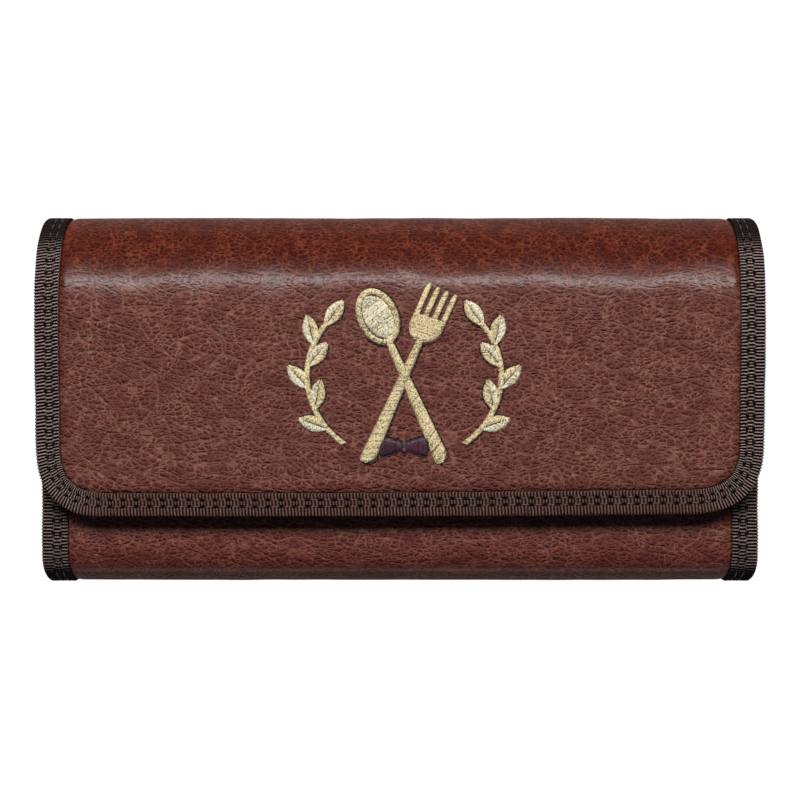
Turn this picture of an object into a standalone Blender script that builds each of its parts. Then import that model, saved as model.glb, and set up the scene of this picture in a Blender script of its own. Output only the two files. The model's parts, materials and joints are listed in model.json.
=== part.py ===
"""A waiter's wallet, closed, lying on its back.

+X is the wallet's width, +Y runs up to the top roll, +Z out of the front. The origin is under the
middle of the wallet, on the surface that it lies on.

The cover is one strip of leather in the real wallet: it starts at the top of the front panel, goes
down and round the bottom, up the back, over the top roll and down the front again as the flap. Here
it is a side profile in the Y-Z plane, cut at three fold lines. Each layer is a sheet that follows
the profile at its own depth, and each edge is closed by a folded tape.
"""

import math

import bmesh
import bpy
from mathutils import Matrix, Vector

MM = 0.001

# Overall sizes
HEIGHT = 98.8 * MM
THICKNESS = 36.0 * MM
BODY_WIDTH = 191.6 * MM
FLAP_OVERHANG = 1.5 * MM
FRONT_FACE_Z = 29.8 * MM
FRONT_TOP_Y = 30.0 * MM
FLAP_LENGTH = 62.6 * MM
FLAP_DROP = 0.9 * MM
FLAP_TAPER = 0.8 * MM
FLAP_CORNER_WIDTH = 21.2 * MM
FLAP_CORNER_HEIGHT = 20.4 * MM
FLAP_CORNER_FULLNESS = 2.6
BOTTOM_RADIUS = 9.0 * MM

# Layers, from the outside in
SEAT = 0.3 * MM
TAPE_THICKNESS = 0.5 * MM
TAPE_WIDTH = 7.1 * MM
LEATHER_THICKNESS = 1.0 * MM
PADDING_THICKNESS = 0.5 * MM
BOARD_THICKNESS = 0.6 * MM
LINING_THICKNESS = 0.4 * MM
PAD_RAMP = 4.0 * MM
ROUND_EDGE_MARGIN = 5.0 * MM

# Pockets, from the back to the front
BACK_COMPARTMENT = 5.2 * MM
MIDDLE_COMPARTMENT = 5.2 * MM
DIVIDER_THICKNESS = 0.9 * MM
DIVIDER_TOP_Y = 33.0 * MM
DIVIDER_SIDE_ROOM = 7.2 * MM
DIVIDER_CORNER = 4.0 * MM
DIVIDER_TAPE_WIDTH = 5.0 * MM
PURSE_DEPTH = 6.6 * MM
PURSE_SIDE_ROOM = 7.8 * MM
PURSE_WALL = 0.7 * MM
PURSE_TOP_Y = 24.0 * MM
PURSE_CORNER = 2.4 * MM
PURSE_GUSSET_FOLD = 2.6 * MM
POCKET_FLOOR_GAP = 1.6 * MM

# Side bellows
GUSSET_THICKNESS = 0.4 * MM
GUSSET_TOP_Y = 26.0 * MM
GUSSET_EDGE_INSET = 2.6 * MM
GUSSET_RIDGE_GAP = 2.2 * MM
GUSSET_FOLD = 5.6 * MM

# Hook and loop closure
CLOSURE_WIDTH = 120.0 * MM
CLOSURE_HEIGHT = 14.0 * MM
CLOSURE_MARGIN = 1.5 * MM
CLOSURE_THICKNESS = 0.4 * MM

# Zip
ZIP_DROP = 1.4 * MM
ZIP_END_MARGIN = 8.8 * MM
TOOTH_PITCH = 2.4 * MM
TOOTH_WIDTH = 0.9 * MM
TOOTH_REACH = 0.35 * MM
TOOTH_HEIGHT = 1.4 * MM
RACK_INNER = 0.6 * MM
RACK_OUTER = 1.1 * MM
ZIP_TAPE_THICKNESS = 0.5 * MM
ZIP_TAPE_LEG = 9.0 * MM
ZIP_STOP_LENGTH = 2.0 * MM
SLIDER_LENGTH = 8.0 * MM
SLIDER_WIDTH = 4.4 * MM
SLIDER_PLATE = 1.0 * MM
SLIDER_LIP_DEPTH = 0.4 * MM
SLIDER_LIP_WIDTH = 0.7 * MM
SLIDER_END_MARGIN = 11.2 * MM
ARCH_WIDTH = 1.6 * MM
ARCH_CLEAR_LENGTH = 3.2 * MM
ARCH_CLEAR_HEIGHT = 1.7 * MM
ARCH_THICKNESS = 0.7 * MM
PULL_LENGTH = 15.0 * MM
PULL_EYE_WIDTH = 4.6 * MM
PULL_TIP_WIDTH = 3.4 * MM
PULL_THICKNESS = 0.9 * MM
PULL_WINDOW_WIDTH = 2.4 * MM
PULL_WINDOW_LENGTH = 2.7 * MM

# Embroidery on the flap: crossed spoon and fork between two leafy sprigs
THREAD_THICKNESS = 0.6 * MM
EMBLEM_CENTRE = Vector((1.1 * MM, 6.1 * MM))
CUTLERY_LENGTH = 50.0 * MM
CUTLERY_TILT = math.radians(24)
HANDLE_WIDTH = 2.6 * MM
SPOON_BOWL = Vector((5.4 * MM, 7.8 * MM))
FORK_HEAD = Vector((8.8 * MM, 15.0 * MM))
FORK_TINES = 4
FORK_TINE_WIDTH = 1.3 * MM
SPRIG_RADIUS = Vector((25.8 * MM, 23.0 * MM))
SPRIG_ARC = (math.radians(-52), math.radians(36))
SPRIG_STEM_WIDTH = 1.3 * MM
SPRIG_LEAVES = 6
LEAF_LENGTH = 8.0 * MM
LEAF_WIDTH = 3.8 * MM
LEAF_ANGLE = math.radians(34)

ARC_STEP = math.radians(11.25)
FLAP_CORNER_STEPS = 10
COLLECTION = "waiters_wallet"
CUTTERS = "waiters_wallet_cutters"

# Places that follow from the sizes
FLAP_WIDTH = BODY_WIDTH + 2 * FLAP_OVERHANG
DIVIDER_WIDTH = BODY_WIDTH - 2 * DIVIDER_SIDE_ROOM
PURSE_WIDTH = BODY_WIDTH - 2 * PURSE_SIDE_ROOM
ZIP_TEETH = round((PURSE_WIDTH - 2 * ZIP_END_MARGIN) / TOOTH_PITCH)
ZIP_LENGTH = ZIP_TEETH * TOOTH_PITCH
HALF_HEIGHT = HEIGHT / 2
ROLL_RADIUS = THICKNESS / 2
ROLL_Y = HALF_HEIGHT - ROLL_RADIUS
ROLL_Z = ROLL_RADIUS
BOTTOM_Y = -HALF_HEIGHT + BOTTOM_RADIUS
FRONT_CORNER_Z = FRONT_FACE_Z - BOTTOM_RADIUS
RIM_DEPTH = TAPE_THICKNESS + SEAT
LEATHER_DEPTH = RIM_DEPTH + LEATHER_THICKNESS / 2
BOARD_DEPTH = RIM_DEPTH + LEATHER_THICKNESS + SEAT + BOARD_THICKNESS / 2
LINING_DEPTH = BOARD_DEPTH + (BOARD_THICKNESS + LINING_THICKNESS) / 2 + SEAT
LINING_FACE = LINING_DEPTH + LINING_THICKNESS / 2
TAPE_INNER_DEPTH = LINING_FACE + SEAT + TAPE_THICKNESS / 2
PADDING_DEPTH = LEATHER_THICKNESS + SEAT + PADDING_THICKNESS / 2
DIVIDER_Z = LINING_FACE + BACK_COMPARTMENT + DIVIDER_THICKNESS / 2
PURSE_BACK_Z = DIVIDER_Z + DIVIDER_THICKNESS / 2 + MIDDLE_COMPARTMENT
PURSE_Z = PURSE_BACK_Z + PURSE_DEPTH / 2
POCKET_FLOOR_Y = -HALF_HEIGHT + LINING_FACE + POCKET_FLOOR_GAP
CLOSURE_CENTRE_Y = ROLL_Y - FLAP_LENGTH + TAPE_WIDTH + CLOSURE_MARGIN + CLOSURE_HEIGHT / 2
ZIP_Y = PURSE_TOP_Y - ZIP_DROP
SLIDER_X = ZIP_LENGTH / 2 - SLIDER_END_MARGIN
SLIDER_TOP_Y = ZIP_Y + TOOTH_HEIGHT / 2 + SEAT + SLIDER_PLATE
PULL_AXIS_Y = SLIDER_TOP_Y + ARCH_CLEAR_HEIGHT / 2


def line(start, end):
    """A straight stretch of a side profile, from (y, z) to (y, z)."""
    start, end = Vector(start), Vector(end)
    along = (end - start).normalized()
    normal = Vector((-along.y, along.x))
    return {
        "length": (end - start).length,
        "stops": [0.0, 1.0],
        "at": lambda t: (start.lerp(end, t), normal),
    }


def arc(centre, radius, first, last):
    """An arc of a side profile, anticlockwise from first to last, in degrees."""
    centre = Vector(centre)
    first, last = math.radians(first), math.radians(last)
    count = max(2, math.ceil((last - first) / ARC_STEP))

    def at(t):
        angle = first + (last - first) * t
        outward = Vector((math.cos(angle), math.sin(angle)))
        return centre + outward * radius, -outward

    return {
        "length": radius * (last - first),
        "stops": [i / count for i in range(count + 1)],
        "at": at,
    }


class Profile:
    """A side profile: stretches end to end, with the wallet's inside on the left of the way."""

    def __init__(self, *stretches):
        self.stretches = stretches
        self.length = sum(stretch["length"] for stretch in stretches)

    def at(self, distance):
        """The point and the inward normal, each as (y, z), at a distance along the profile."""
        for stretch in self.stretches:
            if distance <= stretch["length"] or stretch is self.stretches[-1]:
                return stretch["at"](distance / stretch["length"])
            distance -= stretch["length"]

    def stops(self, start, end, extra=()):
        """Distances for the rows of a sheet: the profile's own corners, between start and end."""
        found = [start, end, *extra]
        base = 0.0
        for stretch in self.stretches:
            found += [base + t * stretch["length"] for t in stretch["stops"]]
            base += stretch["length"]
        kept = []
        for distance in sorted(found):
            inside = start <= distance <= end
            if inside and (not kept or distance - kept[-1] > 0.05 * MM):
                kept.append(distance)
        kept[-1] = end
        return kept

    def point(self, x, distance, depth):
        """The place in space at x, a distance along the profile and a depth under it."""
        place, normal = self.at(distance)
        place = place + normal * depth
        return Vector((x, place.x, place.y))


BACK_PROFILE = Profile(
    arc((BOTTOM_Y, FRONT_CORNER_Z), BOTTOM_RADIUS, 135, 180),
    line((-HALF_HEIGHT, FRONT_CORNER_Z), (-HALF_HEIGHT, BOTTOM_RADIUS)),
    arc((BOTTOM_Y, BOTTOM_RADIUS), BOTTOM_RADIUS, 180, 270),
    line((BOTTOM_Y, 0.0), (ROLL_Y, 0.0)),
    arc((ROLL_Y, ROLL_Z), ROLL_RADIUS, 270, 315),
)
SPINE_PROFILE = Profile(arc((ROLL_Y, ROLL_Z), ROLL_RADIUS, 315, 405))
FLAP_BOW_RADIUS = FLAP_LENGTH**2 / (2 * FLAP_DROP)
FLAP_PROFILE = Profile(
    arc((ROLL_Y, ROLL_Z), ROLL_RADIUS, 45, 90),
    arc(
        (ROLL_Y, THICKNESS - FLAP_BOW_RADIUS),
        FLAP_BOW_RADIUS,
        90,
        90 + math.degrees(FLAP_LENGTH / FLAP_BOW_RADIUS),
    ),
)
FRONT_PROFILE = Profile(
    line((FRONT_TOP_Y, FRONT_FACE_Z), (BOTTOM_Y, FRONT_FACE_Z)),
    arc((BOTTOM_Y, FRONT_CORNER_Z), BOTTOM_RADIUS, 90, 135),
)
ROLL_ARC = ROLL_RADIUS * math.pi / 4
CORNER_ARC = BOTTOM_RADIUS * math.pi / 4
BACK_FLAT = (BACK_PROFILE.length - ROLL_ARC - (ROLL_Y - BOTTOM_Y), BACK_PROFILE.length - ROLL_ARC)

# Fold lines, all parallel to X
SPINE_AXIS = BACK_PROFILE.point(0.0, BACK_PROFILE.length, 0.0)
FLAP_AXIS = FLAP_PROFILE.point(0.0, 0.0, 0.0)
FRONT_AXIS = BACK_PROFILE.point(0.0, 0.0, 0.0)
DIVIDER_AXIS = Vector((0.0, POCKET_FLOOR_Y, DIVIDER_Z))
PURSE_AXIS = Vector((0.0, POCKET_FLOOR_Y, PURSE_Z))


def narrow_body(distance):
    """The back is as narrow as the body, and widens to the flap's width in the top roll."""
    t = max(0.0, (distance - BACK_FLAT[1]) / ROLL_ARC)
    ease = t * t * (3 - 2 * t)
    return (BODY_WIDTH + (FLAP_WIDTH - BODY_WIDTH) * ease) / FLAP_WIDTH


def narrow_front(distance):
    return BODY_WIDTH / FLAP_WIDTH


def full_width(distance):
    return 1.0


def taper_flap(distance):
    return 1.0 - FLAP_TAPER / (FLAP_WIDTH / 2) * (distance / FLAP_PROFILE.length) ** 2


def clear_scene():
    for obj in list(bpy.data.objects):
        bpy.data.objects.remove(obj, do_unlink=True)


def new_collection(name):
    found = bpy.data.collections.get(name) or bpy.data.collections.new(name)
    if found.name not in bpy.context.scene.collection.children:
        bpy.context.scene.collection.children.link(found)
    return found


def material(name, colour, roughness, metallic=0.0):
    """A Principled BSDF material, made once and shared."""
    found = bpy.data.materials.get(name)
    if found:
        return found
    made = bpy.data.materials.new(name)
    made.use_nodes = True
    shader = made.node_tree.nodes["Principled BSDF"]
    shader.inputs["Base Color"].default_value = (*colour, 1.0)
    shader.inputs["Roughness"].default_value = roughness
    shader.inputs["Metallic"].default_value = metallic
    made.diffuse_color = (*colour, 1.0)
    return made


def leather():
    return material("brown_leather", (0.134, 0.045, 0.036), 0.45)


def tape_cloth():
    return material("ribbed_tape", (0.030, 0.017, 0.014), 0.8)


def nylon():
    return material("brown_nylon", (0.035, 0.022, 0.018), 0.7)


def board():
    return material("grey_board", (0.30, 0.27, 0.23), 0.9)


def foam():
    return material("white_foam", (0.62, 0.60, 0.55), 0.95)


def hook_cloth():
    return material("hook_and_loop", (0.022, 0.014, 0.012), 0.9)


def zip_plastic():
    return material("zip_plastic", (0.028, 0.018, 0.015), 0.4)


def zip_metal():
    return material("old_brass", (0.35, 0.24, 0.12), 0.35, 1.0)


def gold_thread():
    return material("gold_thread", (0.44, 0.31, 0.14), 0.5)


def finish(obj, surface, parent=None):
    """Gives an object its material and collection, and hangs it on its fold line's empty."""
    obj.data.materials.append(surface)
    for holder in list(obj.users_collection):
        holder.objects.unlink(obj)
    bpy.data.collections[COLLECTION].objects.link(obj)
    if parent is not None:
        obj.parent = parent
        obj.matrix_parent_inverse = parent.matrix_world.inverted()
    return obj


def fold_line(name, place, parent=None):
    """An empty on a joint's axis, which carries the pieces that turn or slide there."""
    empty = bpy.data.objects.new(name, None)
    empty.location = place
    bpy.data.collections[COLLECTION].objects.link(empty)
    bpy.context.view_layer.update()
    if parent is not None:
        empty.parent = parent
        empty.matrix_parent_inverse = parent.matrix_world.inverted()
    bpy.context.view_layer.update()
    return empty


def sheet(name, columns, rows, place, thickness):
    """A sheet of even thickness: a grid whose vertex at (column, row) goes to place(column, row)."""
    bm = bmesh.new()
    bmesh.ops.create_grid(bm, x_segments=len(columns) - 1, y_segments=len(rows) - 1, size=1.0)
    for vertex in bm.verts:
        i = round((vertex.co.x + 1) / 2 * (len(columns) - 1))
        j = round((vertex.co.y + 1) / 2 * (len(rows) - 1))
        vertex.co = place(columns[i], rows[j])
    mesh = bpy.data.meshes.new(name)
    bm.to_mesh(mesh)
    bm.free()
    obj = bpy.data.objects.new(name, mesh)
    bpy.data.collections[COLLECTION].objects.link(obj)
    solidify = obj.modifiers.new("thickness", "SOLIDIFY")
    solidify.thickness = thickness
    solidify.offset = 0.0
    solidify.use_even_offset = True
    mesh.shade_smooth()
    mesh.set_sharp_from_angle(angle=math.radians(40))
    return obj


def mirrored(distances):
    """Column places from the left edge to the right edge, from those of the right half."""
    right = sorted(distances)
    return [-x for x in reversed(right)] + right


def box(name, low, high):
    """A block between two corners, from a cube primitive."""
    low, high = Vector(low), Vector(high)
    bm = bmesh.new()
    bmesh.ops.create_cube(bm, size=1.0)
    size = high - low
    for vertex in bm.verts:
        centre = (low + high) / 2
        vertex.co = centre + Vector(a * b for a, b in zip(vertex.co, size))
    mesh = bpy.data.meshes.new(name)
    bm.to_mesh(mesh)
    bm.free()
    obj = bpy.data.objects.new(name, mesh)
    bpy.data.collections[COLLECTION].objects.link(obj)
    return obj


def outline_plate(name, outlines, thickness):
    """A flat plate from closed outlines in the XY plane, the second and later ones being holes."""
    curve = bpy.data.curves.new(name + "_outline", "CURVE")
    curve.dimensions = "2D"
    curve.fill_mode = "BOTH"
    curve.extrude = thickness / 2
    for outline in outlines:
        spline = curve.splines.new("POLY")
        spline.points.add(len(outline) - 1)
        for point, (x, y) in zip(spline.points, outline):
            point.co = (x, y, 0.0, 1.0)
        spline.use_cyclic_u = True
    guide = bpy.data.objects.new(name + "_outline", curve)
    bpy.data.collections[COLLECTION].objects.link(guide)
    bpy.context.view_layer.update()
    depsgraph = bpy.context.evaluated_depsgraph_get()
    mesh = bpy.data.meshes.new_from_object(guide.evaluated_get(depsgraph))
    bpy.data.objects.remove(guide, do_unlink=True)
    bpy.data.curves.remove(curve)
    bm = bmesh.new()
    bm.from_mesh(mesh)
    bmesh.ops.remove_doubles(bm, verts=bm.verts, dist=0.001 * MM)
    bmesh.ops.recalc_face_normals(bm, faces=bm.faces)
    bm.to_mesh(mesh)
    bm.free()
    mesh.name = name
    obj = bpy.data.objects.new(name, mesh)
    bpy.data.collections[COLLECTION].objects.link(obj)
    return obj


def unite(obj, *others):
    """Joins other solids to obj with Boolean unions, and puts them with the cutters."""
    for other in others:
        union = obj.modifiers.new("union_" + other.name, "BOOLEAN")
        union.operation = "UNION"
        union.object = other
        other.hide_render = True
        other.display_type = "WIRE"
        for holder in list(other.users_collection):
            holder.objects.unlink(other)
        bpy.data.collections[CUTTERS].objects.link(other)
    return obj


def pad(edge_distance):
    """How far the padding lifts the leather: not under the tape, and fully past the ramp."""
    start = TAPE_WIDTH + SEAT
    t = min(1.0, max(0.0, (edge_distance - start) / PAD_RAMP))
    return RIM_DEPTH * t * t * (3 - 2 * t)


def padded_columns(half):
    """Columns of a leather sheet: its edge under the tape, the ramp and the flat middle."""
    ramp = [TAPE_WIDTH + SEAT + PAD_RAMP * t for t in (0.0, 0.33, 0.67, 1.0)]
    return mirrored([half - RIM_DEPTH] + [half - inset for inset in ramp])


def strip_layer(name, profile, width, depth, thickness, start, end, inset):
    """A layer with straight sides, from start to end along the profile."""
    half = FLAP_WIDTH / 2 - inset

    def place(x, distance):
        return profile.point(x * width(distance), distance, depth)

    return sheet(name, [-half, half], profile.stops(start, end), place, thickness)


def strip_leather(name, profile, width, start, end, bound_start=False):
    """A leather sheet with straight bound sides, and a bound first edge if the strip has one."""
    half = FLAP_WIDTH / 2
    ramp = [TAPE_WIDTH + SEAT + PAD_RAMP * t for t in (0.0, 0.33, 0.67, 1.0)]
    extra = [distance for distance in ramp if bound_start]

    def place(x, distance):
        lift = pad(half - abs(x))
        if bound_start:
            lift = min(lift, pad(distance))
        return profile.point(x * width(distance), distance, LEATHER_DEPTH - lift)

    rows = profile.stops(start, end, extra)
    return sheet(name, padded_columns(half), rows, place, LEATHER_THICKNESS)


def tape_section():
    """The folded tape's section: places as (inset from the edge, depth), outer leg first."""
    outer = TAPE_THICKNESS / 2
    return [
        (TAPE_WIDTH, outer),
        (outer, outer),
        (outer, TAPE_INNER_DEPTH),
        (TAPE_WIDTH, TAPE_INNER_DEPTH),
    ]


def side_tape(name, side, profile, width, start, end):
    """A tape folded round a straight side edge, along the profile from start to end."""
    section = tape_section()
    half = FLAP_WIDTH / 2

    def place(corner, distance):
        inset, depth = section[corner]
        return profile.point(side * (half * width(distance) - inset), distance, depth)

    return sheet(name, range(4), profile.stops(start, end), place, TAPE_THICKNESS)


def flap_corner(inset):
    """The flap's full corner, a quarter of a superellipse, as (across, down, out across, out down)."""
    wide, high = FLAP_CORNER_WIDTH - inset, FLAP_CORNER_HEIGHT - inset
    power = 2 / FLAP_CORNER_FULLNESS
    found = []
    for i in range(FLAP_CORNER_STEPS + 1):
        angle = math.pi / 2 * i / FLAP_CORNER_STEPS
        across, down = abs(math.cos(angle)) ** power, math.sin(angle) ** power
        out = Vector((across ** (2 / power - 1) / wide, down ** (2 / power - 1) / high))
        out.normalize()
        found.append((wide * across, high * down, out.x, out.y))
    return found


def flap_edge():
    """The flap's edge as (x, distance, inward x, inward distance), from left to right."""
    half = FLAP_WIDTH / 2
    length = FLAP_PROFILE.length
    corner_x, corner_s = -half + FLAP_CORNER_WIDTH, length - FLAP_CORNER_HEIGHT
    side_stops = FLAP_PROFILE.stops(SEAT / 2, corner_s)
    left = [(-half, distance, 1.0, 0.0) for distance in side_stops]
    corner = [
        (corner_x - across, corner_s + down, out_x, -out_s)
        for across, down, out_x, out_s in flap_corner(0.0)[1:]
    ]
    half_edge = left + corner
    other_half = [(-x, s, -in_x, in_s) for x, s, in_x, in_s in reversed(half_edge)]
    return half_edge + other_half


def flap_tape(name):
    """The tape folded round the flap's sides, round corners and free edge."""
    section = tape_section()
    edge = flap_edge()

    def place(corner, index):
        inset, depth = section[corner]
        x, distance, in_x, in_s = edge[index]
        distance += in_s * inset
        x = (x + in_x * inset) * taper_flap(distance)
        return FLAP_PROFILE.point(x, distance, depth)

    return sheet(name, range(4), range(len(edge)), place, TAPE_THICKNESS)


def flap_half_width(distance, inset):
    """Half the flap's width at a distance along it, with the outline moved in by inset."""
    length = FLAP_PROFILE.length - inset
    wide, high = FLAP_CORNER_WIDTH - inset, FLAP_CORNER_HEIGHT - inset
    half = FLAP_WIDTH / 2 - inset
    down = (distance - (length - high)) / high
    if down <= 0:
        return half
    across = max(0.0, 1 - down**FLAP_CORNER_FULLNESS) ** (1 / FLAP_CORNER_FULLNESS)
    return half - wide + wide * across


def flap_rows(start, inset, extra=()):
    """Rows of a flap layer, closer together in the round corners."""
    length = FLAP_PROFILE.length - inset
    corner_start = length - (FLAP_CORNER_HEIGHT - inset)
    corner = [corner_start + down for _, down, _, _ in flap_corner(inset)]
    return FLAP_PROFILE.stops(start, length, [*corner, *extra])


def flap_layer(name, depth, thickness, start, inset):
    """A flat layer of the flap, with the flap's round corners."""

    def place(side, distance):
        x = side * flap_half_width(distance, inset) * taper_flap(distance)
        return FLAP_PROFILE.point(x, distance, depth)

    return sheet(name, [-1.0, 0.0, 1.0], flap_rows(start, inset), place, thickness)


def gap_to_line(point, start, end):
    """The distance from a point to a straight line between two others."""
    along = end - start
    t = (point - start).dot(along) / along.length_squared
    return (point - start.lerp(end, min(1.0, max(0.0, t)))).length


def flap_leather(name):
    """The flap's leather: pressed thin under the tape, and lifted by the padding inside it."""
    length = FLAP_PROFILE.length
    half = FLAP_WIDTH / 2
    columns = padded_columns(half)
    widest = columns[-1]
    ramp = [length - TAPE_WIDTH - SEAT - PAD_RAMP * t for t in (0.0, 0.33, 0.67, 1.0)]
    edge = [Vector((x, distance)) for x, distance, _, _ in flap_edge()]

    def place(x, distance):
        x = x * flap_half_width(distance, RIM_DEPTH) / widest
        gap = min(gap_to_line(Vector((x, distance)), *ends) for ends in zip(edge, edge[1:]))
        lift = pad(gap)
        return FLAP_PROFILE.point(x * taper_flap(distance), distance, LEATHER_DEPTH - lift)

    rows = flap_rows(SEAT / 2, RIM_DEPTH, ramp)
    return sheet(name, columns, rows, place, LEATHER_THICKNESS)


def build_back():
    """The fixed body: back panel, bottom and the start of the top roll."""
    profile, width = BACK_PROFILE, narrow_body
    start, end = SEAT / 2, BACK_PROFILE.length - SEAT / 2
    finish(strip_leather("back_leather", profile, width, start, end), leather())
    finish(
        strip_layer(
            "back_lining", profile, width, LINING_DEPTH, LINING_THICKNESS, start, end, RIM_DEPTH
        ),
        nylon(),
    )
    flat = BACK_FLAT
    finish(
        strip_layer(
            "back_board", profile, width, BOARD_DEPTH, BOARD_THICKNESS, *flat, RIM_DEPTH
        ),
        board(),
    )
    finish(
        strip_layer(
            "back_padding",
            profile,
            width,
            PADDING_DEPTH,
            PADDING_THICKNESS,
            *flat,
            TAPE_WIDTH + ROUND_EDGE_MARGIN,
        ),
        foam(),
    )
    for name, side in (("back_tape_left", -1), ("back_tape_right", 1)):
        finish(side_tape(name, side, profile, width, start, end), tape_cloth())


def build_spine(axis):
    """The top roll between the two folds."""
    profile, width = SPINE_PROFILE, full_width
    start, end = SEAT / 2, profile.length - SEAT / 2
    finish(strip_leather("spine_leather", profile, width, start, end), leather(), axis)
    finish(
        strip_layer(
            "spine_lining", profile, width, LINING_DEPTH, LINING_THICKNESS, start, end, RIM_DEPTH
        ),
        nylon(),
        axis,
    )
    for name, side in (("spine_tape_left", -1), ("spine_tape_right", 1)):
        finish(side_tape(name, side, profile, width, start, end), tape_cloth(), axis)


def build_flap(axis):
    """The flap, with its round-cornered tape and the hook strip under it."""
    finish(flap_leather("flap_leather"), leather(), axis)
    board_start = ROLL_ARC
    finish(
        flap_layer("flap_board", BOARD_DEPTH, BOARD_THICKNESS, board_start, RIM_DEPTH),
        board(),
        axis,
    )
    padding_inset = TAPE_WIDTH + ROUND_EDGE_MARGIN
    finish(
        flap_layer(
            "flap_padding", PADDING_DEPTH, PADDING_THICKNESS, board_start, padding_inset
        ),
        foam(),
        axis,
    )
    finish(
        flap_layer("flap_lining", LINING_DEPTH, LINING_THICKNESS, SEAT / 2, RIM_DEPTH),
        nylon(),
        axis,
    )
    finish(flap_tape("flap_tape"), tape_cloth(), axis)
    finish(hook_strip("hook_strip"), hook_cloth(), axis)


def hook_strip(name):
    """The hook strip, sewn under the flap opposite the loop strip."""
    centre = ROLL_ARC + ROLL_Y - CLOSURE_CENTRE_Y
    depth = LINING_FACE + SEAT + CLOSURE_THICKNESS / 2
    rows = [centre - CLOSURE_HEIGHT / 2, centre + CLOSURE_HEIGHT / 2]

    def place(x, distance):
        return FLAP_PROFILE.point(x, distance, depth)

    return sheet(name, [-CLOSURE_WIDTH / 2, CLOSURE_WIDTH / 2], rows, place, CLOSURE_THICKNESS)


def build_front(axis):
    """The front panel and the half of the bottom corner that leans out with it."""
    profile, width = FRONT_PROFILE, narrow_front
    end = profile.length - SEAT / 2
    top = FRONT_TOP_Y - BOTTOM_Y
    finish(
        strip_leather("front_leather", profile, width, RIM_DEPTH, end, bound_start=True),
        leather(),
        axis,
    )
    finish(
        strip_layer(
            "front_lining",
            profile,
            width,
            LINING_DEPTH,
            LINING_THICKNESS,
            RIM_DEPTH,
            end,
            RIM_DEPTH,
        ),
        nylon(),
        axis,
    )
    finish(
        strip_layer(
            "front_board",
            profile,
            width,
            BOARD_DEPTH,
            BOARD_THICKNESS,
            RIM_DEPTH,
            top,
            RIM_DEPTH,
        ),
        board(),
        axis,
    )
    padding_inset = TAPE_WIDTH + ROUND_EDGE_MARGIN
    finish(
        strip_layer(
            "front_padding",
            profile,
            width,
            PADDING_DEPTH,
            PADDING_THICKNESS,
            padding_inset,
            top,
            padding_inset,
        ),
        foam(),
        axis,
    )
    for name, side in (("front_tape_left", -1), ("front_tape_right", 1)):
        finish(side_tape(name, side, profile, width, 0.0, end), tape_cloth(), axis)
    finish(front_top_tape("front_tape_top"), tape_cloth(), axis)
    low_y = CLOSURE_CENTRE_Y - CLOSURE_HEIGHT / 2
    face = FRONT_FACE_Z + SEAT
    low = (-CLOSURE_WIDTH / 2, low_y, face)
    high = (CLOSURE_WIDTH / 2, low_y + CLOSURE_HEIGHT, face + CLOSURE_THICKNESS)
    finish(box("loop_strip", low, high), hook_cloth(), axis)


def front_top_tape(name):
    """The tape folded over the front panel's top edge, from side tape to side tape."""
    section = tape_section()
    half = BODY_WIDTH / 2 - TAPE_WIDTH - SEAT

    def place(x, corner):
        inset, depth = section[corner]
        return FRONT_PROFILE.point(x, inset, depth)

    return sheet(name, [-half, half], range(4), place, TAPE_THICKNESS)


def build_divider(axis):
    """A stiff divider between the two rear compartments, bound along its top."""
    half, low, top = DIVIDER_WIDTH / 2, POCKET_FLOOR_Y, DIVIDER_TOP_Y
    corner = DIVIDER_CORNER
    right = [
        (half - corner + corner * math.cos(a), top - corner + corner * math.sin(a))
        for a in (math.pi / 2 * i / 4 for i in range(5))
    ]
    left = [(-x, y) for x, y in reversed(right)]
    plate = outline_plate(
        "divider_panel", [[(-half, low), (half, low), *right, *left]], DIVIDER_THICKNESS
    )
    plate.data.transform(Matrix.Translation((0.0, 0.0, DIVIDER_Z)))
    finish(plate, nylon(), axis)
    over = DIVIDER_THICKNESS / 2 + SEAT + TAPE_THICKNESS / 2
    cap = top + SEAT + TAPE_THICKNESS / 2
    section = [
        (top - DIVIDER_TAPE_WIDTH, over),
        (cap, over),
        (cap, -over),
        (top - DIVIDER_TAPE_WIDTH, -over),
    ]

    def place(x, corner_index):
        y, z = section[corner_index]
        return Vector((x, y, DIVIDER_Z + z))

    reach = half - corner
    tape = sheet("divider_tape", [-reach, reach], range(4), place, TAPE_THICKNESS)
    finish(tape, tape_cloth(), axis)


def build_purse(axis):
    """The zipped coin purse: one folded pouch, its side gussets and the zip."""
    radius = PURSE_CORNER
    back_z = PURSE_Z - PURSE_DEPTH / 2
    front_z = PURSE_Z + PURSE_DEPTH / 2
    low = POCKET_FLOOR_Y
    pouch = Profile(
        line((PURSE_TOP_Y, front_z), (low + radius, front_z)),
        arc((low + radius, front_z - radius), radius, 90, 180),
        line((low, front_z - radius), (low, back_z + radius)),
        arc((low + radius, back_z + radius), radius, 180, 270),
        line((low + radius, back_z), (PURSE_TOP_Y, back_z)),
    )
    half = PURSE_WIDTH / 2

    def place(x, distance):
        return pouch.point(x, distance, PURSE_WALL / 2)

    rows = pouch.stops(0.0, pouch.length)
    finish(sheet("coin_pouch", [-half, half], rows, place, PURSE_WALL), nylon(), axis)
    build_purse_gussets(axis)
    build_zip(axis)


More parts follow.
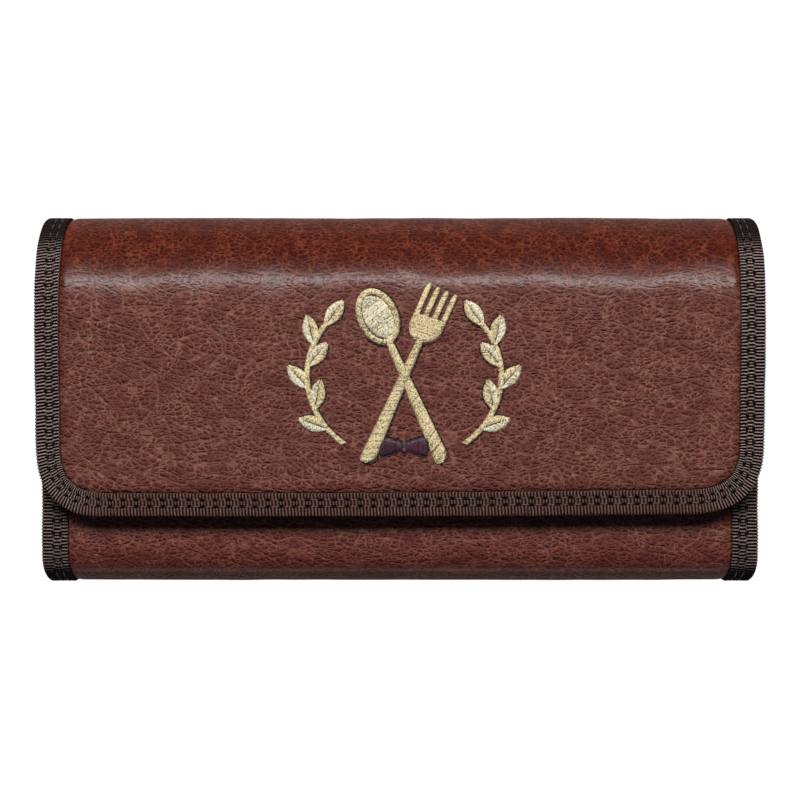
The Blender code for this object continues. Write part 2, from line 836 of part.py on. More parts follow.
def build_purse_gussets(axis):
    """A folded strip closes each side of the pouch between its walls."""
    wall = PURSE_DEPTH / 2 - PURSE_WALL - SEAT - GUSSET_THICKNESS / 2
    edge = PURSE_WIDTH / 2 - GUSSET_THICKNESS
    folds = [(edge, -wall), (edge - PURSE_GUSSET_FOLD, 0.0), (edge, wall)]
    rows = [POCKET_FLOOR_Y + PURSE_CORNER, ZIP_Y - TOOTH_HEIGHT]
    for name, side in (("coin_gusset_left", -1), ("coin_gusset_right", 1)):

        def place(fold, y, side=side):
            x, z = folds[fold]
            return Vector((side * x, y, PURSE_Z + z))

        finish(sheet(name, range(3), rows, place, GUSSET_THICKNESS), nylon(), axis)


def zip_rack(name, side, offset):
    """One row of zip teeth on its base strip, cut as a comb and set on edge."""
    start = -ZIP_LENGTH / 2 + offset
    comb = []
    for i in range(ZIP_TEETH):
        first = start + i * TOOTH_PITCH
        last = first + TOOTH_WIDTH
        comb += [
            (first, RACK_INNER),
            (first, -TOOTH_REACH),
            (last, -TOOTH_REACH),
            (last, RACK_INNER),
        ]
    end = start + (ZIP_TEETH - 1) * TOOTH_PITCH + TOOTH_WIDTH
    comb += [(end, RACK_OUTER), (start, RACK_OUTER)]
    rack = outline_plate(name, [[(x, side * z) for x, z in comb]], TOOTH_HEIGHT)
    upright = Matrix.Translation((0.0, ZIP_Y, PURSE_Z)) @ Matrix.Rotation(math.pi / 2, 4, "X")
    rack.data.transform(upright)
    return rack


def build_zip(axis):
    """Two tapes sewn to the walls, two meshing rows of teeth and a stop at each end."""
    wall = PURSE_DEPTH / 2 - PURSE_WALL - SEAT - ZIP_TAPE_THICKNESS / 2
    inner = RACK_OUTER + SEAT
    folds = [(ZIP_Y - ZIP_TAPE_LEG, wall), (ZIP_Y, wall), (ZIP_Y, inner)]
    reach = ZIP_LENGTH / 2 + ZIP_STOP_LENGTH
    for name, side in (("zip_tape_back", -1), ("zip_tape_front", 1)):

        def place(x, fold, side=side):
            y, z = folds[fold]
            return Vector((x, y, PURSE_Z + side * z))

        tape = sheet(name, [-reach, reach], range(3), place, ZIP_TAPE_THICKNESS)
        finish(tape, tape_cloth(), axis)
    finish(zip_rack("zip_teeth_back", -1, 0.0), zip_plastic(), axis)
    finish(zip_rack("zip_teeth_front", 1, TOOTH_PITCH / 2), zip_plastic(), axis)
    stop = RACK_OUTER
    for name, side in (("zip_stop_left", -1), ("zip_stop_right", 1)):
        near = ZIP_LENGTH / 2 + SEAT
        ends = sorted((side * near, side * (near + ZIP_STOP_LENGTH - SEAT)))
        low = (ends[0], ZIP_Y - TOOTH_HEIGHT / 2, PURSE_Z - stop)
        high = (ends[1], ZIP_Y + TOOTH_HEIGHT / 2, PURSE_Z + stop)
        finish(box(name, low, high), zip_plastic(), axis)


def build_slider(axis):
    """The zip's slider: a channel over the teeth, and an arch for the pull."""
    wide, inner = SLIDER_WIDTH / 2, SLIDER_WIDTH / 2 - SLIDER_LIP_WIDTH
    under = -SLIDER_PLATE
    lip = under - SLIDER_LIP_DEPTH
    section = [
        (-wide, lip),
        (-inner, lip),
        (-inner, under),
        (inner, under),
        (inner, lip),
        (wide, lip),
        (wide, 0.0),
        (-wide, 0.0),
    ]
    channel = outline_plate("zip_slider", [section], SLIDER_LENGTH)
    channel.data.transform(Matrix.Rotation(-math.pi / 2, 4, "Y"))
    clear, rise, thick = ARCH_CLEAR_LENGTH / 2, ARCH_CLEAR_HEIGHT, ARCH_THICKNESS
    foot = -SLIDER_PLATE / 2
    bend = thick * 0.7
    arch = outline_plate(
        "slider_arch",
        [
            [
                (-clear - thick, foot),
                (-clear, foot),
                (-clear, rise),
                (clear, rise),
                (clear, foot),
                (clear + thick, foot),
                (clear + thick, rise + thick - bend),
                (clear + thick - bend, rise + thick),
                (-clear - thick + bend, rise + thick),
                (-clear - thick, rise + thick - bend),
            ]
        ],
        ARCH_WIDTH,
    )
    for piece in (channel, arch):
        piece.data.transform(Matrix.Translation((SLIDER_X, SLIDER_TOP_Y, PURSE_Z)))
    finish(unite(channel, arch), zip_metal(), axis)


def build_pull(axis):
    """The pull tab: its end bar lies under the slider's arch, which passes through its window."""
    bar = PULL_THICKNESS / 2
    eye, tip = PULL_EYE_WIDTH / 2, PULL_TIP_WIDTH / 2
    neck = bar + PULL_WINDOW_LENGTH + PULL_THICKNESS
    end = PULL_LENGTH - tip
    nose = [
        (-(end + tip * math.sin(a)), tip * math.cos(a))
        for a in (math.pi * i / 8 for i in range(9))
    ]
    outline = [(bar, -eye), (bar, eye), (-neck, eye), *nose, (-neck, -eye)]
    window_half = PULL_WINDOW_WIDTH / 2
    window_end = -bar - PULL_WINDOW_LENGTH
    window = [
        (-bar, -window_half),
        (window_end, -window_half),
        (window_end, window_half),
        (-bar, window_half),
    ]
    pull = outline_plate("zip_pull", [outline, window], PULL_THICKNESS)
    flat = Matrix.Translation((SLIDER_X, PULL_AXIS_Y, PURSE_Z)) @ Matrix.Rotation(
        math.pi / 2, 4, "X"
    )
    pull.data.transform(flat)
    finish(pull, zip_metal(), axis)


def build_gussets():
    """Bellows that join the back to the front on each side, folded in between the pockets."""
    back_z = TAPE_INNER_DEPTH + TAPE_THICKNESS / 2 + SEAT + GUSSET_THICKNESS
    front_z = FRONT_FACE_Z - back_z
    sewn = BODY_WIDTH / 2 - GUSSET_EDGE_INSET
    divider_ridge = DIVIDER_WIDTH / 2 + GUSSET_RIDGE_GAP
    purse_ridge = PURSE_WIDTH / 2 + GUSSET_RIDGE_GAP
    purse_back = PURSE_Z - PURSE_DEPTH / 2
    purse_front = PURSE_Z + PURSE_DEPTH / 2
    folds = [
        (sewn, back_z),
        (divider_ridge - GUSSET_FOLD, (back_z + DIVIDER_Z) / 2),
        (divider_ridge, DIVIDER_Z),
        (divider_ridge - GUSSET_FOLD, (DIVIDER_Z + purse_back) / 2),
        (purse_ridge, purse_back),
        (purse_ridge, purse_front),
        (purse_ridge - GUSSET_FOLD, (purse_front + front_z) / 2),
        (sewn, front_z),
    ]
    rows = [BOTTOM_Y, GUSSET_TOP_Y]
    for name, side in (("gusset_left", -1), ("gusset_right", 1)):

        def place(fold, y, side=side):
            x, z = folds[fold]
            return Vector((side * x, y, z))

        finish(sheet(name, range(len(folds)), rows, place, GUSSET_THICKNESS), nylon())


def lay_on_flap(obj):
    """Bends a flat plate, drawn round its own centre, onto the face of the flap."""
    for vertex in obj.data.vertices:
        x, y, z = vertex.co
        x, y = x + EMBLEM_CENTRE.x, y + EMBLEM_CENTRE.y
        distance = ROLL_ARC + ROLL_Y - y
        depth = -(SEAT + THREAD_THICKNESS / 2 + z)
        vertex.co = FLAP_PROFILE.point(x, distance, depth)
    return obj


def ellipse(centre, radii, count=20):
    """A closed elliptical outline."""
    angles = (2 * math.pi * i / count for i in range(count))
    return [(centre[0] + radii[0] * math.cos(a), centre[1] + radii[1] * math.sin(a)) for a in angles]


def turned(obj, angle, shift=(0.0, 0.0)):
    """Turns a flat plate about its centre and shifts it in its own plane."""
    move = Matrix.Translation((*shift, 0.0)) @ Matrix.Rotation(angle, 4, "Z")
    obj.data.transform(move)
    return obj


def spoon_plate(name):
    """A spoon: an oval bowl on a handle that widens to a round end."""
    top = CUTLERY_LENGTH / 2
    bowl_centre = top - SPOON_BOWL.y
    bowl = outline_plate(name, [ellipse((0.0, bowl_centre), SPOON_BOWL)], THREAD_THICKNESS)
    return bowl, handle_plate(name + "_handle", bowl_centre)


def handle_plate(name, top):
    """A handle from the head down to a wider, round end."""
    low = -CUTLERY_LENGTH / 2
    end = HANDLE_WIDTH
    neck = HANDLE_WIDTH / 3
    round_end = [
        (end * math.cos(a) * 0.75, low + end + end * math.sin(a))
        for a in (math.pi + math.pi * i / 8 for i in range(9))
    ]
    outline = [*round_end, (neck, top), (-neck, top)]
    return outline_plate(name, [outline], THREAD_THICKNESS)


def fork_plate(name):
    """A fork: a head with a round back and straight tines on a handle."""
    width, height = FORK_HEAD
    top = CUTLERY_LENGTH / 2
    shoulder = top - height
    pitch = (width - FORK_TINE_WIDTH) / (FORK_TINES - 1)
    gap_floor = shoulder + height * 0.45
    tines = []
    for i in range(FORK_TINES):
        left = -width / 2 + i * pitch
        right = left + FORK_TINE_WIDTH
        if i:
            tines.append((left, gap_floor))
        tines += [(left, top - FORK_TINE_WIDTH / 2), ((left + right) / 2, top)]
        tines.append((right, top - FORK_TINE_WIDTH / 2))
        if i < FORK_TINES - 1:
            tines.append((right, gap_floor))
    back = [
        (width / 2 * math.cos(a), shoulder + height * 0.3 + height * 0.3 * math.sin(a))
        for a in (-math.pi * i / 8 for i in range(9))
    ]
    head = outline_plate(name, [[*tines, *back]], THREAD_THICKNESS)
    return head, handle_plate(name + "_handle", shoulder + height * 0.2)


def build_cutlery(axis):
    """The crossed spoon and fork, one patch of thread."""
    spoon = spoon_plate("embroidery_cutlery")
    fork = fork_plate("embroidery_fork")
    for plate in spoon:
        lay_on_flap(turned(plate, CUTLERY_TILT))
    for plate in fork:
        lay_on_flap(turned(plate, -CUTLERY_TILT))
    finish(unite(spoon[0], spoon[1], *fork), gold_thread(), axis)


def leaf_plate(name):
    """A pointed leaf along +Y, from its stalk at the origin."""
    count = 8
    root = SPRIG_STEM_WIDTH / 2
    blunt = SPRIG_STEM_WIDTH / 6
    side = []
    for i in range(count + 1):
        t = i / count
        swell = LEAF_WIDTH / 2 * math.sin(math.pi * t) ** 0.8
        side.append((blunt + swell, (LEAF_LENGTH + root) * t - root))
    outline = side + [(-x, y) for x, y in reversed(side)]
    return outline_plate(name, [outline], THREAD_THICKNESS)


def build_sprig(name, side, axis):
    """A curved stem with leaves in turn on its inner and outer side."""
    first, last = SPRIG_ARC
    steps = 14
    angles = [first + (last - first) * i / steps for i in range(steps + 1)]

    def stem_point(angle, offset):
        rx, ry = SPRIG_RADIUS
        return side * (rx + offset) * math.cos(angle), (ry + offset) * math.sin(angle)

    half = SPRIG_STEM_WIDTH / 2
    outline = [stem_point(a, half) for a in angles]
    outline += [stem_point(a, -half) for a in reversed(angles)]
    stem = outline_plate(name, [outline], THREAD_THICKNESS)
    leaves = []
    for i in range(SPRIG_LEAVES):
        angle = first + (last - first) * (i + 1) / SPRIG_LEAVES
        x, y = stem_point(angle, 0.0)
        along = side * angle
        lean = (LEAF_ANGLE if i % 2 else -LEAF_ANGLE) * side
        if i == SPRIG_LEAVES - 1:
            lean = 0.0
        leaf = leaf_plate(f"{name}_leaf_{i + 1}")
        leaves.append(turned(leaf, along + lean, (x, y)))
    for plate in (stem, *leaves):
        lay_on_flap(plate)
    finish(unite(stem, *leaves), gold_thread(), axis)


def main():
    clear_scene()
    new_collection(COLLECTION)
    new_collection(CUTTERS)
    build_back()
    spine = fold_line("spine_fold_axis", SPINE_AXIS)
    build_spine(spine)
    flap = fold_line("flap_fold_axis", FLAP_AXIS, spine)
    build_flap(flap)
    build_cutlery(flap)
    build_sprig("embroidery_sprig_left", -1, flap)
    build_sprig("embroidery_sprig_right", 1, flap)
    build_front(fold_line("front_lean_axis", FRONT_AXIS))
    build_divider(fold_line("divider_lean_axis", DIVIDER_AXIS))
    purse = fold_line("purse_lean_axis", PURSE_AXIS)
    build_purse(purse)
    slider_place = Vector((SLIDER_X, SLIDER_TOP_Y, PURSE_Z))
    slider = fold_line("zip_slide_axis", slider_place, purse)
    build_slider(slider)
    pull_place = Vector((SLIDER_X, PULL_AXIS_Y, PURSE_Z))
    build_pull(fold_line("zip_pull_axis", pull_place, slider))
    build_gussets()


main()
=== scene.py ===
"""The looks of a waiter's wallet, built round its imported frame.

The wallet lies on its back. +X is its width, +Y runs up to the top roll, +Z out of the front. The
cover is one strip: a place on it is x, a distance s along the side profile from the front panel's
top edge round to the flap's free edge, and a depth under the outer face.
"""

import json
import math

import bpy
import numpy as np
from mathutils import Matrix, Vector

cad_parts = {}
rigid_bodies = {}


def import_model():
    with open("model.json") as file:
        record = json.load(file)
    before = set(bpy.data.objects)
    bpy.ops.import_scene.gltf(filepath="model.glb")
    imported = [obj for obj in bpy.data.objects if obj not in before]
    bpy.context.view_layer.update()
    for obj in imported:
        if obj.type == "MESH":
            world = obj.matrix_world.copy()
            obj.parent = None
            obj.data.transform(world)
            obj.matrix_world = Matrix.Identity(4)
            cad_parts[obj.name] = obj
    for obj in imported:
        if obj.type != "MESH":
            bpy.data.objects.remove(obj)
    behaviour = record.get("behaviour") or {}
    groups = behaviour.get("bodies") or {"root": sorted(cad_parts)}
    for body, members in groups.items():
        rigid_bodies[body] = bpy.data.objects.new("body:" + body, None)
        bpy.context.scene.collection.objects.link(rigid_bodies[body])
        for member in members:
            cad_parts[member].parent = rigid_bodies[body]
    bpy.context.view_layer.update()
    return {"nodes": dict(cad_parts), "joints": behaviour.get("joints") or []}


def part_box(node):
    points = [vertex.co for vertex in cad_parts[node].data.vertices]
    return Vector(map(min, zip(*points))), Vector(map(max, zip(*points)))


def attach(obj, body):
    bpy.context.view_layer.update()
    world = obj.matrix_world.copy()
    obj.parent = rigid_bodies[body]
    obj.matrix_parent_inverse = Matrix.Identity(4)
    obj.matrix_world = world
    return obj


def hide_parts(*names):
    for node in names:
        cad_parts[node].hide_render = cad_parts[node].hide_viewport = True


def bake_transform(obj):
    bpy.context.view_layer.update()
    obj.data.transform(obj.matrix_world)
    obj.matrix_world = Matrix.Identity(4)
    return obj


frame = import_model()

MM = 0.001
rng = np.random.default_rng(7)


def low(node):
    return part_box(node)[0]


def high(node):
    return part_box(node)[1]


# Places of the frame
THICKNESS = high("flap_tape").z
FLAP_HALF = high("flap_tape").x
FLAP_END_Y = low("flap_tape").y
HALF_HEIGHT = high("spine_tape_left").y
BODY_HALF = high("front_tape_right").x + 0.4 * MM
FRONT_Z = high("front_tape_left").z
FRONT_TOP_Y = high("front_tape_top").y
BOTTOM_Y = low("front_board").y
BOTTOM_RADIUS = BOTTOM_Y + HALF_HEIGHT
ROLL_RADIUS = THICKNESS / 2
ROLL_Y = HALF_HEIGHT - ROLL_RADIUS
DIVIDER_Z = (low("divider_panel").z + high("divider_panel").z) / 2
PURSE_Z = (low("coin_pouch").z + high("coin_pouch").z) / 2

# The flap
SHOULDER = 27.0 * MM
FLAP_DROP = 0.9 * MM
FLAP_TAPER = 0.35 * MM
CORNER_WIDTH = 21.2 * MM
CORNER_HEIGHT = 20.4 * MM
CORNER_FULLNESS = 2.6
FLAP_SKEW = 1.2 * MM
FLAP_SAG = 0.5 * MM
EDGE_PULL = 1.2 * MM
EDGE_PULL_POWER = 3.5

# Layers, as depths under the outer face
SEAT = 0.3 * MM
TAPE_THICKNESS = 0.5 * MM
TAPE_WIDTH = 7.1 * MM
FLAP_TAPE_SHARE = 0.925
RIM_DEPTH = TAPE_THICKNESS + SEAT
LEATHER_THICKNESS = 0.85 * MM
PAD_RAMP = 3.4 * MM
FRONT_SINK = 0.55
PADDING_DEPTHS = (1.3 * MM, 1.8 * MM)
LINING_DEPTHS = (3.0 * MM, 3.4 * MM)
TAPE_BACK_DEPTH = 4.2 * MM
PADDING_INSET = 12.1 * MM

# Tape and its stitches
RIB_PITCH = 0.877 * MM
RIB_STEPS = 6
RIB_HEIGHT = 0.34 * MM
STITCH_ROWS = (3.25 * MM, 5.2 * MM)
STITCH_PITCH = 4 * RIB_PITCH
STITCH_RADIUS = 0.15 * MM
HOLE_LENGTH = 1.8 * MM
HOLE_WIDTH = 0.39 * MM
GROOVE_DEPTH = 0.34 * MM
GROOVE_WIDTH = 0.3 * MM
PINCH = 0.13 * MM
PINCH_WIDTH = 0.8 * MM
# Lit share of the front tapes: painted shade beside the flap
FRONT_TAPE_LIT_SHARE = 0.72
FLAP_RIB_SLANT = 0.08
WEAVE_PITCH = 0.5 * MM
BAND_SHIFTS = (0.0, 0.42 * MM, 0.15 * MM)
BAND_BLEND = 0.6 * MM
TAPE_WOBBLE = 0.05 * MM
STITCH_LEAN = 0.05 * MM
STITCH_RISE = 0.08 * MM
STITCH_DIVE = 0.60 * MM

# Pockets
GUSSET_THICKNESS = 0.4 * MM
GUSSET_SEAM = 2.6 * MM
RIDGE_REACH = 2.2 * MM
FOLD_DEPTH = 5.6 * MM
SLACK_FOLD_DEPTH = 1.7 * MM
PURSE_WALL = 0.7 * MM
DIVIDER_CORNER = 4.0 * MM
DIVIDER_STITCH_ROWS = (2.6 * MM,)

# Closure
BAND_THICKNESS = 0.4 * MM
HOOK_PITCH = 1.5 * MM
HOOK_RADIUS = 0.075 * MM
LOOP_PITCH = 1.15 * MM
LOOP_RADIUS = 0.055 * MM

# Embroidery
EMBLEM_CENTRE = np.array((1.1, 6.1)) * MM
THREAD_SPACING = 0.33 * MM
THREAD_RADIUS = 0.2 * MM
OUTLINE_RADIUS = 0.17 * MM
CUTLERY_LENGTH = 50.0 * MM
CUTLERY_TILT = math.radians(24)
HANDLE_END_Y = -CUTLERY_LENGTH / 2
HANDLE_WIDTH = 2.6 * MM
SPOON_BOWL = np.array((5.4, 7.8)) * MM
FORK_HEAD = np.array((8.8, 15.0)) * MM
FORK_TINES = 4
FORK_TINE_WIDTH = 1.3 * MM
SPRIG_RADII = np.array((25.8, 23.0)) * MM
SPRIG_ARC = (math.radians(-52), math.radians(36))
SPRIG_LEAVES = 6
SPRIG_STEM_WIDTH = 1.3 * MM
BOW_CENTRE = np.array((0.0, -18.6)) * MM
BOW_WING = np.array((5.4, 5.4)) * MM
BOW_KNOT = np.array((1.9, 2.6)) * MM
LEAF_LENGTH = 8.0 * MM
LEAF_WIDTH = 3.8 * MM
LEAF_ANGLE = math.radians(34)

# Camera and light
CAMERA_HEIGHT = 560.0 * MM
VIEW_WIDTH = 212.4 * MM
CAMERA_Y = -0.27 * MM
LAMP_DISTANCE = 1.2
CEILING = (0.022, 0.023, 0.034)
WHITE = (1.0, 1.0, 1.0)
GLOSS_SHARE = 0.07
FLOOR_HALF = 6.0
FLOOR_GLOW = 1.12
FLOOR_GLOW_SHARE = 0.9

# The lamps: angle from straight above, size and power
KEY = (math.radians(38.5), (1.3, 0.38), 18.4)
GLINT = (math.radians(31), (1.3, 0.10), 15.8)
FILL = (math.radians(-84), (1.3, 0.2), 1.9)

# Tones of the leather: two of its pebbles, then two of its creases. The top and bottom sets are darker and
# redder: painted shade on the rolls.
LEATHER_FLAT = ((0.066, 0.010, 0.010), (0.114, 0.025, 0.021), (0.320, 0.155, 0.116), (0.250, 0.092, 0.064))
LEATHER_TOP_SHADED = ((0.022, 0.001, 0.001), (0.046, 0.002, 0.002), (0.220, 0.056, 0.024), (0.155, 0.025, 0.011))
LEATHER_BOTTOM_SHADED = ((0.054, 0.006, 0.009), (0.096, 0.014, 0.015), (0.270, 0.098, 0.062), (0.205, 0.056, 0.036))


def unit(ways):
    """Directions made 1 long."""
    return ways / np.maximum(np.linalg.norm(ways, axis=-1, keepdims=True), 1e-12)


def circle(angle):
    """Points on a circle of radius 1."""
    return np.stack((np.cos(angle), np.sin(angle)), -1)


def lengths_along(line):
    """How far along a line each of its points lies."""
    return np.concatenate(((0.0,), np.cumsum(np.linalg.norm(np.diff(line, axis=0), axis=1))))


def points_at(line, lengths, where):
    """Points at distances along a line."""
    return np.stack([np.interp(where, lengths, column) for column in line.T], -1)


def smooth(t):
    t = np.clip(t, 0, 1)
    return t * t * (3 - 2 * t)


def stretch(centre, radii, first, last):
    """A stretch of an ellipse in the Y-Z plane, anticlockwise, as dense (y, z, inward y, inward z)."""
    out = circle(np.radians(np.linspace(first, last, 181)))
    return np.hstack((np.array(centre) + out * radii, -unit(out / np.array(radii))))


def straight(start, end):
    """A straight stretch of the profile, in the form of stretch."""
    ends = np.array((start, end))
    way = unit(ends[1] - ends[0])
    return np.hstack((ends, np.tile((-way[1], way[0]), (2, 1))))


FLAP_FLAT_Y = HALF_HEIGHT - SHOULDER
BOW_LENGTH = FLAP_FLAT_Y - FLAP_END_Y
BOW_RADIUS = BOW_LENGTH**2 / (2 * FLAP_DROP)
BOW_ANGLE = math.degrees(BOW_LENGTH / BOW_RADIUS)
FRONT_CORNER_Z = FRONT_Z - BOTTOM_RADIUS
PROFILE_PARTS = (
    straight((FRONT_TOP_Y, FRONT_Z), (BOTTOM_Y, FRONT_Z)),
    stretch((BOTTOM_Y, FRONT_CORNER_Z), (BOTTOM_RADIUS, BOTTOM_RADIUS), 90, 180),
    straight((-HALF_HEIGHT, FRONT_CORNER_Z), (-HALF_HEIGHT, BOTTOM_RADIUS)),
    stretch((BOTTOM_Y, BOTTOM_RADIUS), (BOTTOM_RADIUS, BOTTOM_RADIUS), 180, 270),
    straight((BOTTOM_Y, 0.0), (ROLL_Y, 0.0)),
    stretch((ROLL_Y, ROLL_RADIUS), (ROLL_RADIUS, ROLL_RADIUS), 270, 360),
    stretch((FLAP_FLAT_Y, ROLL_RADIUS), (SHOULDER, ROLL_RADIUS), 0, 90),
    stretch((FLAP_FLAT_Y, THICKNESS - BOW_RADIUS), (BOW_RADIUS, BOW_RADIUS), 90, 90 + BOW_ANGLE),
)
PROFILE = np.vstack(PROFILE_PARTS)
PROFILE_S = lengths_along(PROFILE[:, :2])
PART_ENDS = PROFILE_S[np.cumsum([len(part) for part in PROFILE_PARTS]) - 1]
FRONT_END, CORNER_END, WALL_END, BACK_START, BACK_END, ROLL_MIDDLE, FLAT_START, FLAP_END = PART_ENDS
WALL_SEAM = (CORNER_END + WALL_END) / 2
CORNER_START = FLAP_END - CORNER_HEIGHT
STRIP_END = FRONT_TOP_Y - low("loop_strip").y
ROLL_END = FLAT_START - 0.45 * (FLAT_START - ROLL_MIDDLE)


def s_on_flap(y):
    """The distance s of a place y on the flap."""
    on_flap = PROFILE_S >= ROLL_MIDDLE
    return np.interp(-np.asarray(y), -PROFILE[on_flap, 0], PROFILE_S[on_flap])


def tape_share(s):
    """The tape's width at s, as a share of its width on the front panel."""
    return 1 - (1 - FLAP_TAPE_SHARE) * smooth((s - BACK_START) / (BACK_END - BACK_START))


def spread(s):
    """The cover's width at s, as a share of the flap's full width."""
    growth = smooth((s - BACK_END) / (ROLL_RADIUS * math.pi / 4))
    share = (BODY_HALF + (FLAP_HALF - BODY_HALF) * growth) / FLAP_HALF
    down = np.clip((s - ROLL_MIDDLE) / (FLAP_END - ROLL_MIDDLE), 0, 1)
    lean = np.abs(np.interp(s, PROFILE_S, PROFILE[:, 2]))
    pull = EDGE_PULL * lean**EDGE_PULL_POWER + FLAP_TAPER * smooth((down - 0.45) / 0.35)
    return share - pull / FLAP_HALF


def on_cover(x, s, depth):
    """Places in space on the cover, from arrays of x at full width, s and depth."""
    x, s, depth = np.broadcast_arrays(x, s, depth)
    y, z, in_y, in_z = (np.interp(s, PROFILE_S, column) for column in PROFILE.T)
    return np.stack((x * spread(s), y + in_y * depth, z + in_z * depth), -1)


def waves(x, s, length, seed, count=7):
    """A smooth, uneven field of about -1 to 1, with waves of about one length."""
    draw = np.random.default_rng(seed)
    total = 0.0
    for _ in range(count):
        angle, phase = draw.uniform(0, 2 * math.pi, 2)
        size = 2 * math.pi / (length * draw.uniform(0.7, 1.6))
        total = total + np.sin(size * (x * math.cos(angle) + s * math.sin(angle)) + phase)
    return total / math.sqrt(count)


def grid_faces(rows, columns, wrap=False):
    """Quads between the neighbours of a grid whose points are numbered row by row."""
    i = np.arange(rows - 1)[:, None] * columns
    j = np.arange(columns if wrap else columns - 1)[None, :]
    k = (j + 1) % columns
    return np.stack((i + j, i + k, i + columns + k, i + columns + j), -1).reshape(-1, 4)


def border(rows, columns):
    """The numbers of a grid's border points, in order round it."""
    right = np.arange(1, rows) * columns + columns - 1
    bottom = (rows - 1) * columns + np.arange(columns - 2, -1, -1)
    left = np.arange(rows - 2, 0, -1) * columns
    return np.concatenate((np.arange(columns), right, bottom, left))


def make_mesh(name, points, faces, caps=(), **marks):
    """A closed mesh with its faces pointing out. Its material reads marks, such as place or tone."""
    a, b, c, d = (points[faces[:, i]] for i in range(4))
    volume = (np.cross(b - a, c - a) * a).sum() + (np.cross(c - a, d - a) * a).sum()
    polygons = [list(map(int, face)) for face in caps]
    if volume < 0:
        faces = faces[:, ::-1]
        polygons = [face[::-1] for face in polygons]
    mesh = bpy.data.meshes.new(name)
    mesh.from_pydata(points, [], faces.tolist() + polygons)
    mesh.shade_smooth()
    for mark, values in marks.items():
        values = np.asarray(values, np.float32)
        kind, field = ("FLOAT_VECTOR", "vector") if values.ndim == 2 else ("FLOAT", "value")
        mesh.attributes.new(mark, kind, "POINT").data.foreach_set(field, values.ravel())
    obj = bpy.data.objects.new(name, mesh)
    bpy.context.scene.collection.objects.link(obj)
    return obj


def shell(name, outer, inner, x, s, beyond=0.0):
    """A closed sheet between two grids of points, the first being the face that shows."""
    rows, columns = outer.shape[:2]
    count = rows * columns
    faces = grid_faces(rows, columns)
    rim = border(rows, columns)
    after = np.roll(rim, -1)
    sides = np.stack((after, rim, rim + count, after + count), -1)
    points = np.vstack((outer.reshape(-1, 3), inner.reshape(-1, 3)))
    place = np.stack(np.broadcast_arrays(x, s, beyond), -1)
    place = np.vstack((place.reshape(-1, 3),) * 2)
    obj = make_mesh(name, points, np.vstack((faces, faces[:, ::-1] + count, sides)), place=place)
    obj.data.set_sharp_from_angle(angle=math.radians(50))
    return obj


def tubes(name, lines, radius, ups, sides=6, **marks):
    """Many short threads as one mesh: lines is (thread, point, 3), and marks go by point."""
    count, steps = lines.shape[:2]
    along = unit(np.gradient(lines, axis=1))
    across = unit(np.cross(along, ups))
    turn = circle(np.arange(sides) * 2 * math.pi / sides)
    ring = across[..., None, :] * turn[:, :1] + np.cross(across, along)[..., None, :] * turn[:, 1:]
    points = lines[:, :, None] + ring * np.asarray(radius)[..., None, None]
    start = np.arange(count)[:, None, None] * steps * sides
    faces = (grid_faces(steps, sides, wrap=True)[None] + start).reshape(-1, 4)
    ends = np.stack((np.arange(sides)[::-1], (steps - 1) * sides + np.arange(sides)))
    caps = (ends[None] + start).reshape(-1, sides)
    for mark, values in marks.items():
        marks[mark] = np.repeat(values.reshape(count * steps, *values.shape[2:]), sides, axis=0)
    return make_mesh(name, points.reshape(-1, 3), faces, caps, **marks)


class Nodes:
    """A node tree, with short calls for the nodes that are used here."""

    def __init__(self, tree):
        self.tree = tree

    def feed(self, socket, value):
        """Links a value to a socket, or writes it there. A colour is (red, green, blue)."""
        if isinstance(value, bpy.types.NodeSocket):
            self.tree.links.new(value, socket)
        else:
            socket.default_value = (*value, 1.0) if socket.type == "RGBA" else value

    def node(self, kind, *values, **settings):
        """A node with its first inputs fed in order."""
        made = self.tree.nodes.new("ShaderNode" + kind)
        for key, value in settings.items():
            setattr(made, key, value)
        for socket, value in zip(made.inputs, values):
            self.feed(socket, value)
        return made

    def attribute(self, name, output="Fac"):
        return self.node("Attribute", attribute_name=name).outputs[output]

    def math(self, operation, *values, clamp=False):
        return self.node("Math", *values, operation=operation, use_clamp=clamp).outputs[0]

    def vector(self, operation, a, b):
        return self.node("VectorMath", a, b, operation=operation).outputs[0]

    def split(self, vector):
        return self.node("SeparateXYZ", vector).outputs

    def noise(self, vector, scale, detail=2.0, output=0):
        made = self.node("TexNoise", vector)
        made.inputs["Scale"].default_value = scale
        made.inputs["Detail"].default_value = detail
        return made.outputs[output]

    def creases(self, place, angle, scale):
        """Distance from the creases between cells of one size and direction."""
        turned = self.node("VectorRotate", place, rotation_type="Z_AXIS")
        turned.inputs["Angle"].default_value = math.radians(angle)
        sized = self.vector("MULTIPLY", turned.outputs[0], scale)
        cells = self.node("TexVoronoi", sized, feature="DISTANCE_TO_EDGE")
        cells.inputs["Scale"].default_value = 1.0
        return cells.outputs[0]

    def range(self, value, start, end, to_start=0.0, to_end=1.0):
        """A value eased from one range to another."""
        limits = (start, end, to_start, to_end)
        return self.node("MapRange", value, *limits, interpolation_type="SMOOTHSTEP").outputs[0]

    def mix(self, factor, a, b):
        made = self.node("Mix", data_type="RGBA")
        for name, fed in (("Factor", factor), ("A", a), ("B", b)):
            self.feed(next(x for x in made.inputs if x.name == name and x.enabled), fed)
        return next(x for x in made.outputs if x.enabled)

    def bump(self, height, distance):
        made = self.node("Bump")
        made.inputs["Strength"].default_value = 1.0
        made.inputs["Distance"].default_value = distance
        self.feed(made.inputs["Height"], height)
        return made.outputs[0]


class Surface(Nodes):
    """A material, whose shader's sockets are set by their names."""

    def __init__(self, name, roughness=0.5, metallic=0.0):
        self.material = bpy.data.materials.new(name)
        self.material.use_nodes = True
        super().__init__(self.material.node_tree)
        self.shader = self.tree.nodes["Principled BSDF"]
        self.set("Roughness", roughness)
        self.set("Metallic", metallic)

    def set(self, socket, value):
        self.feed(self.shader.inputs[socket], value)


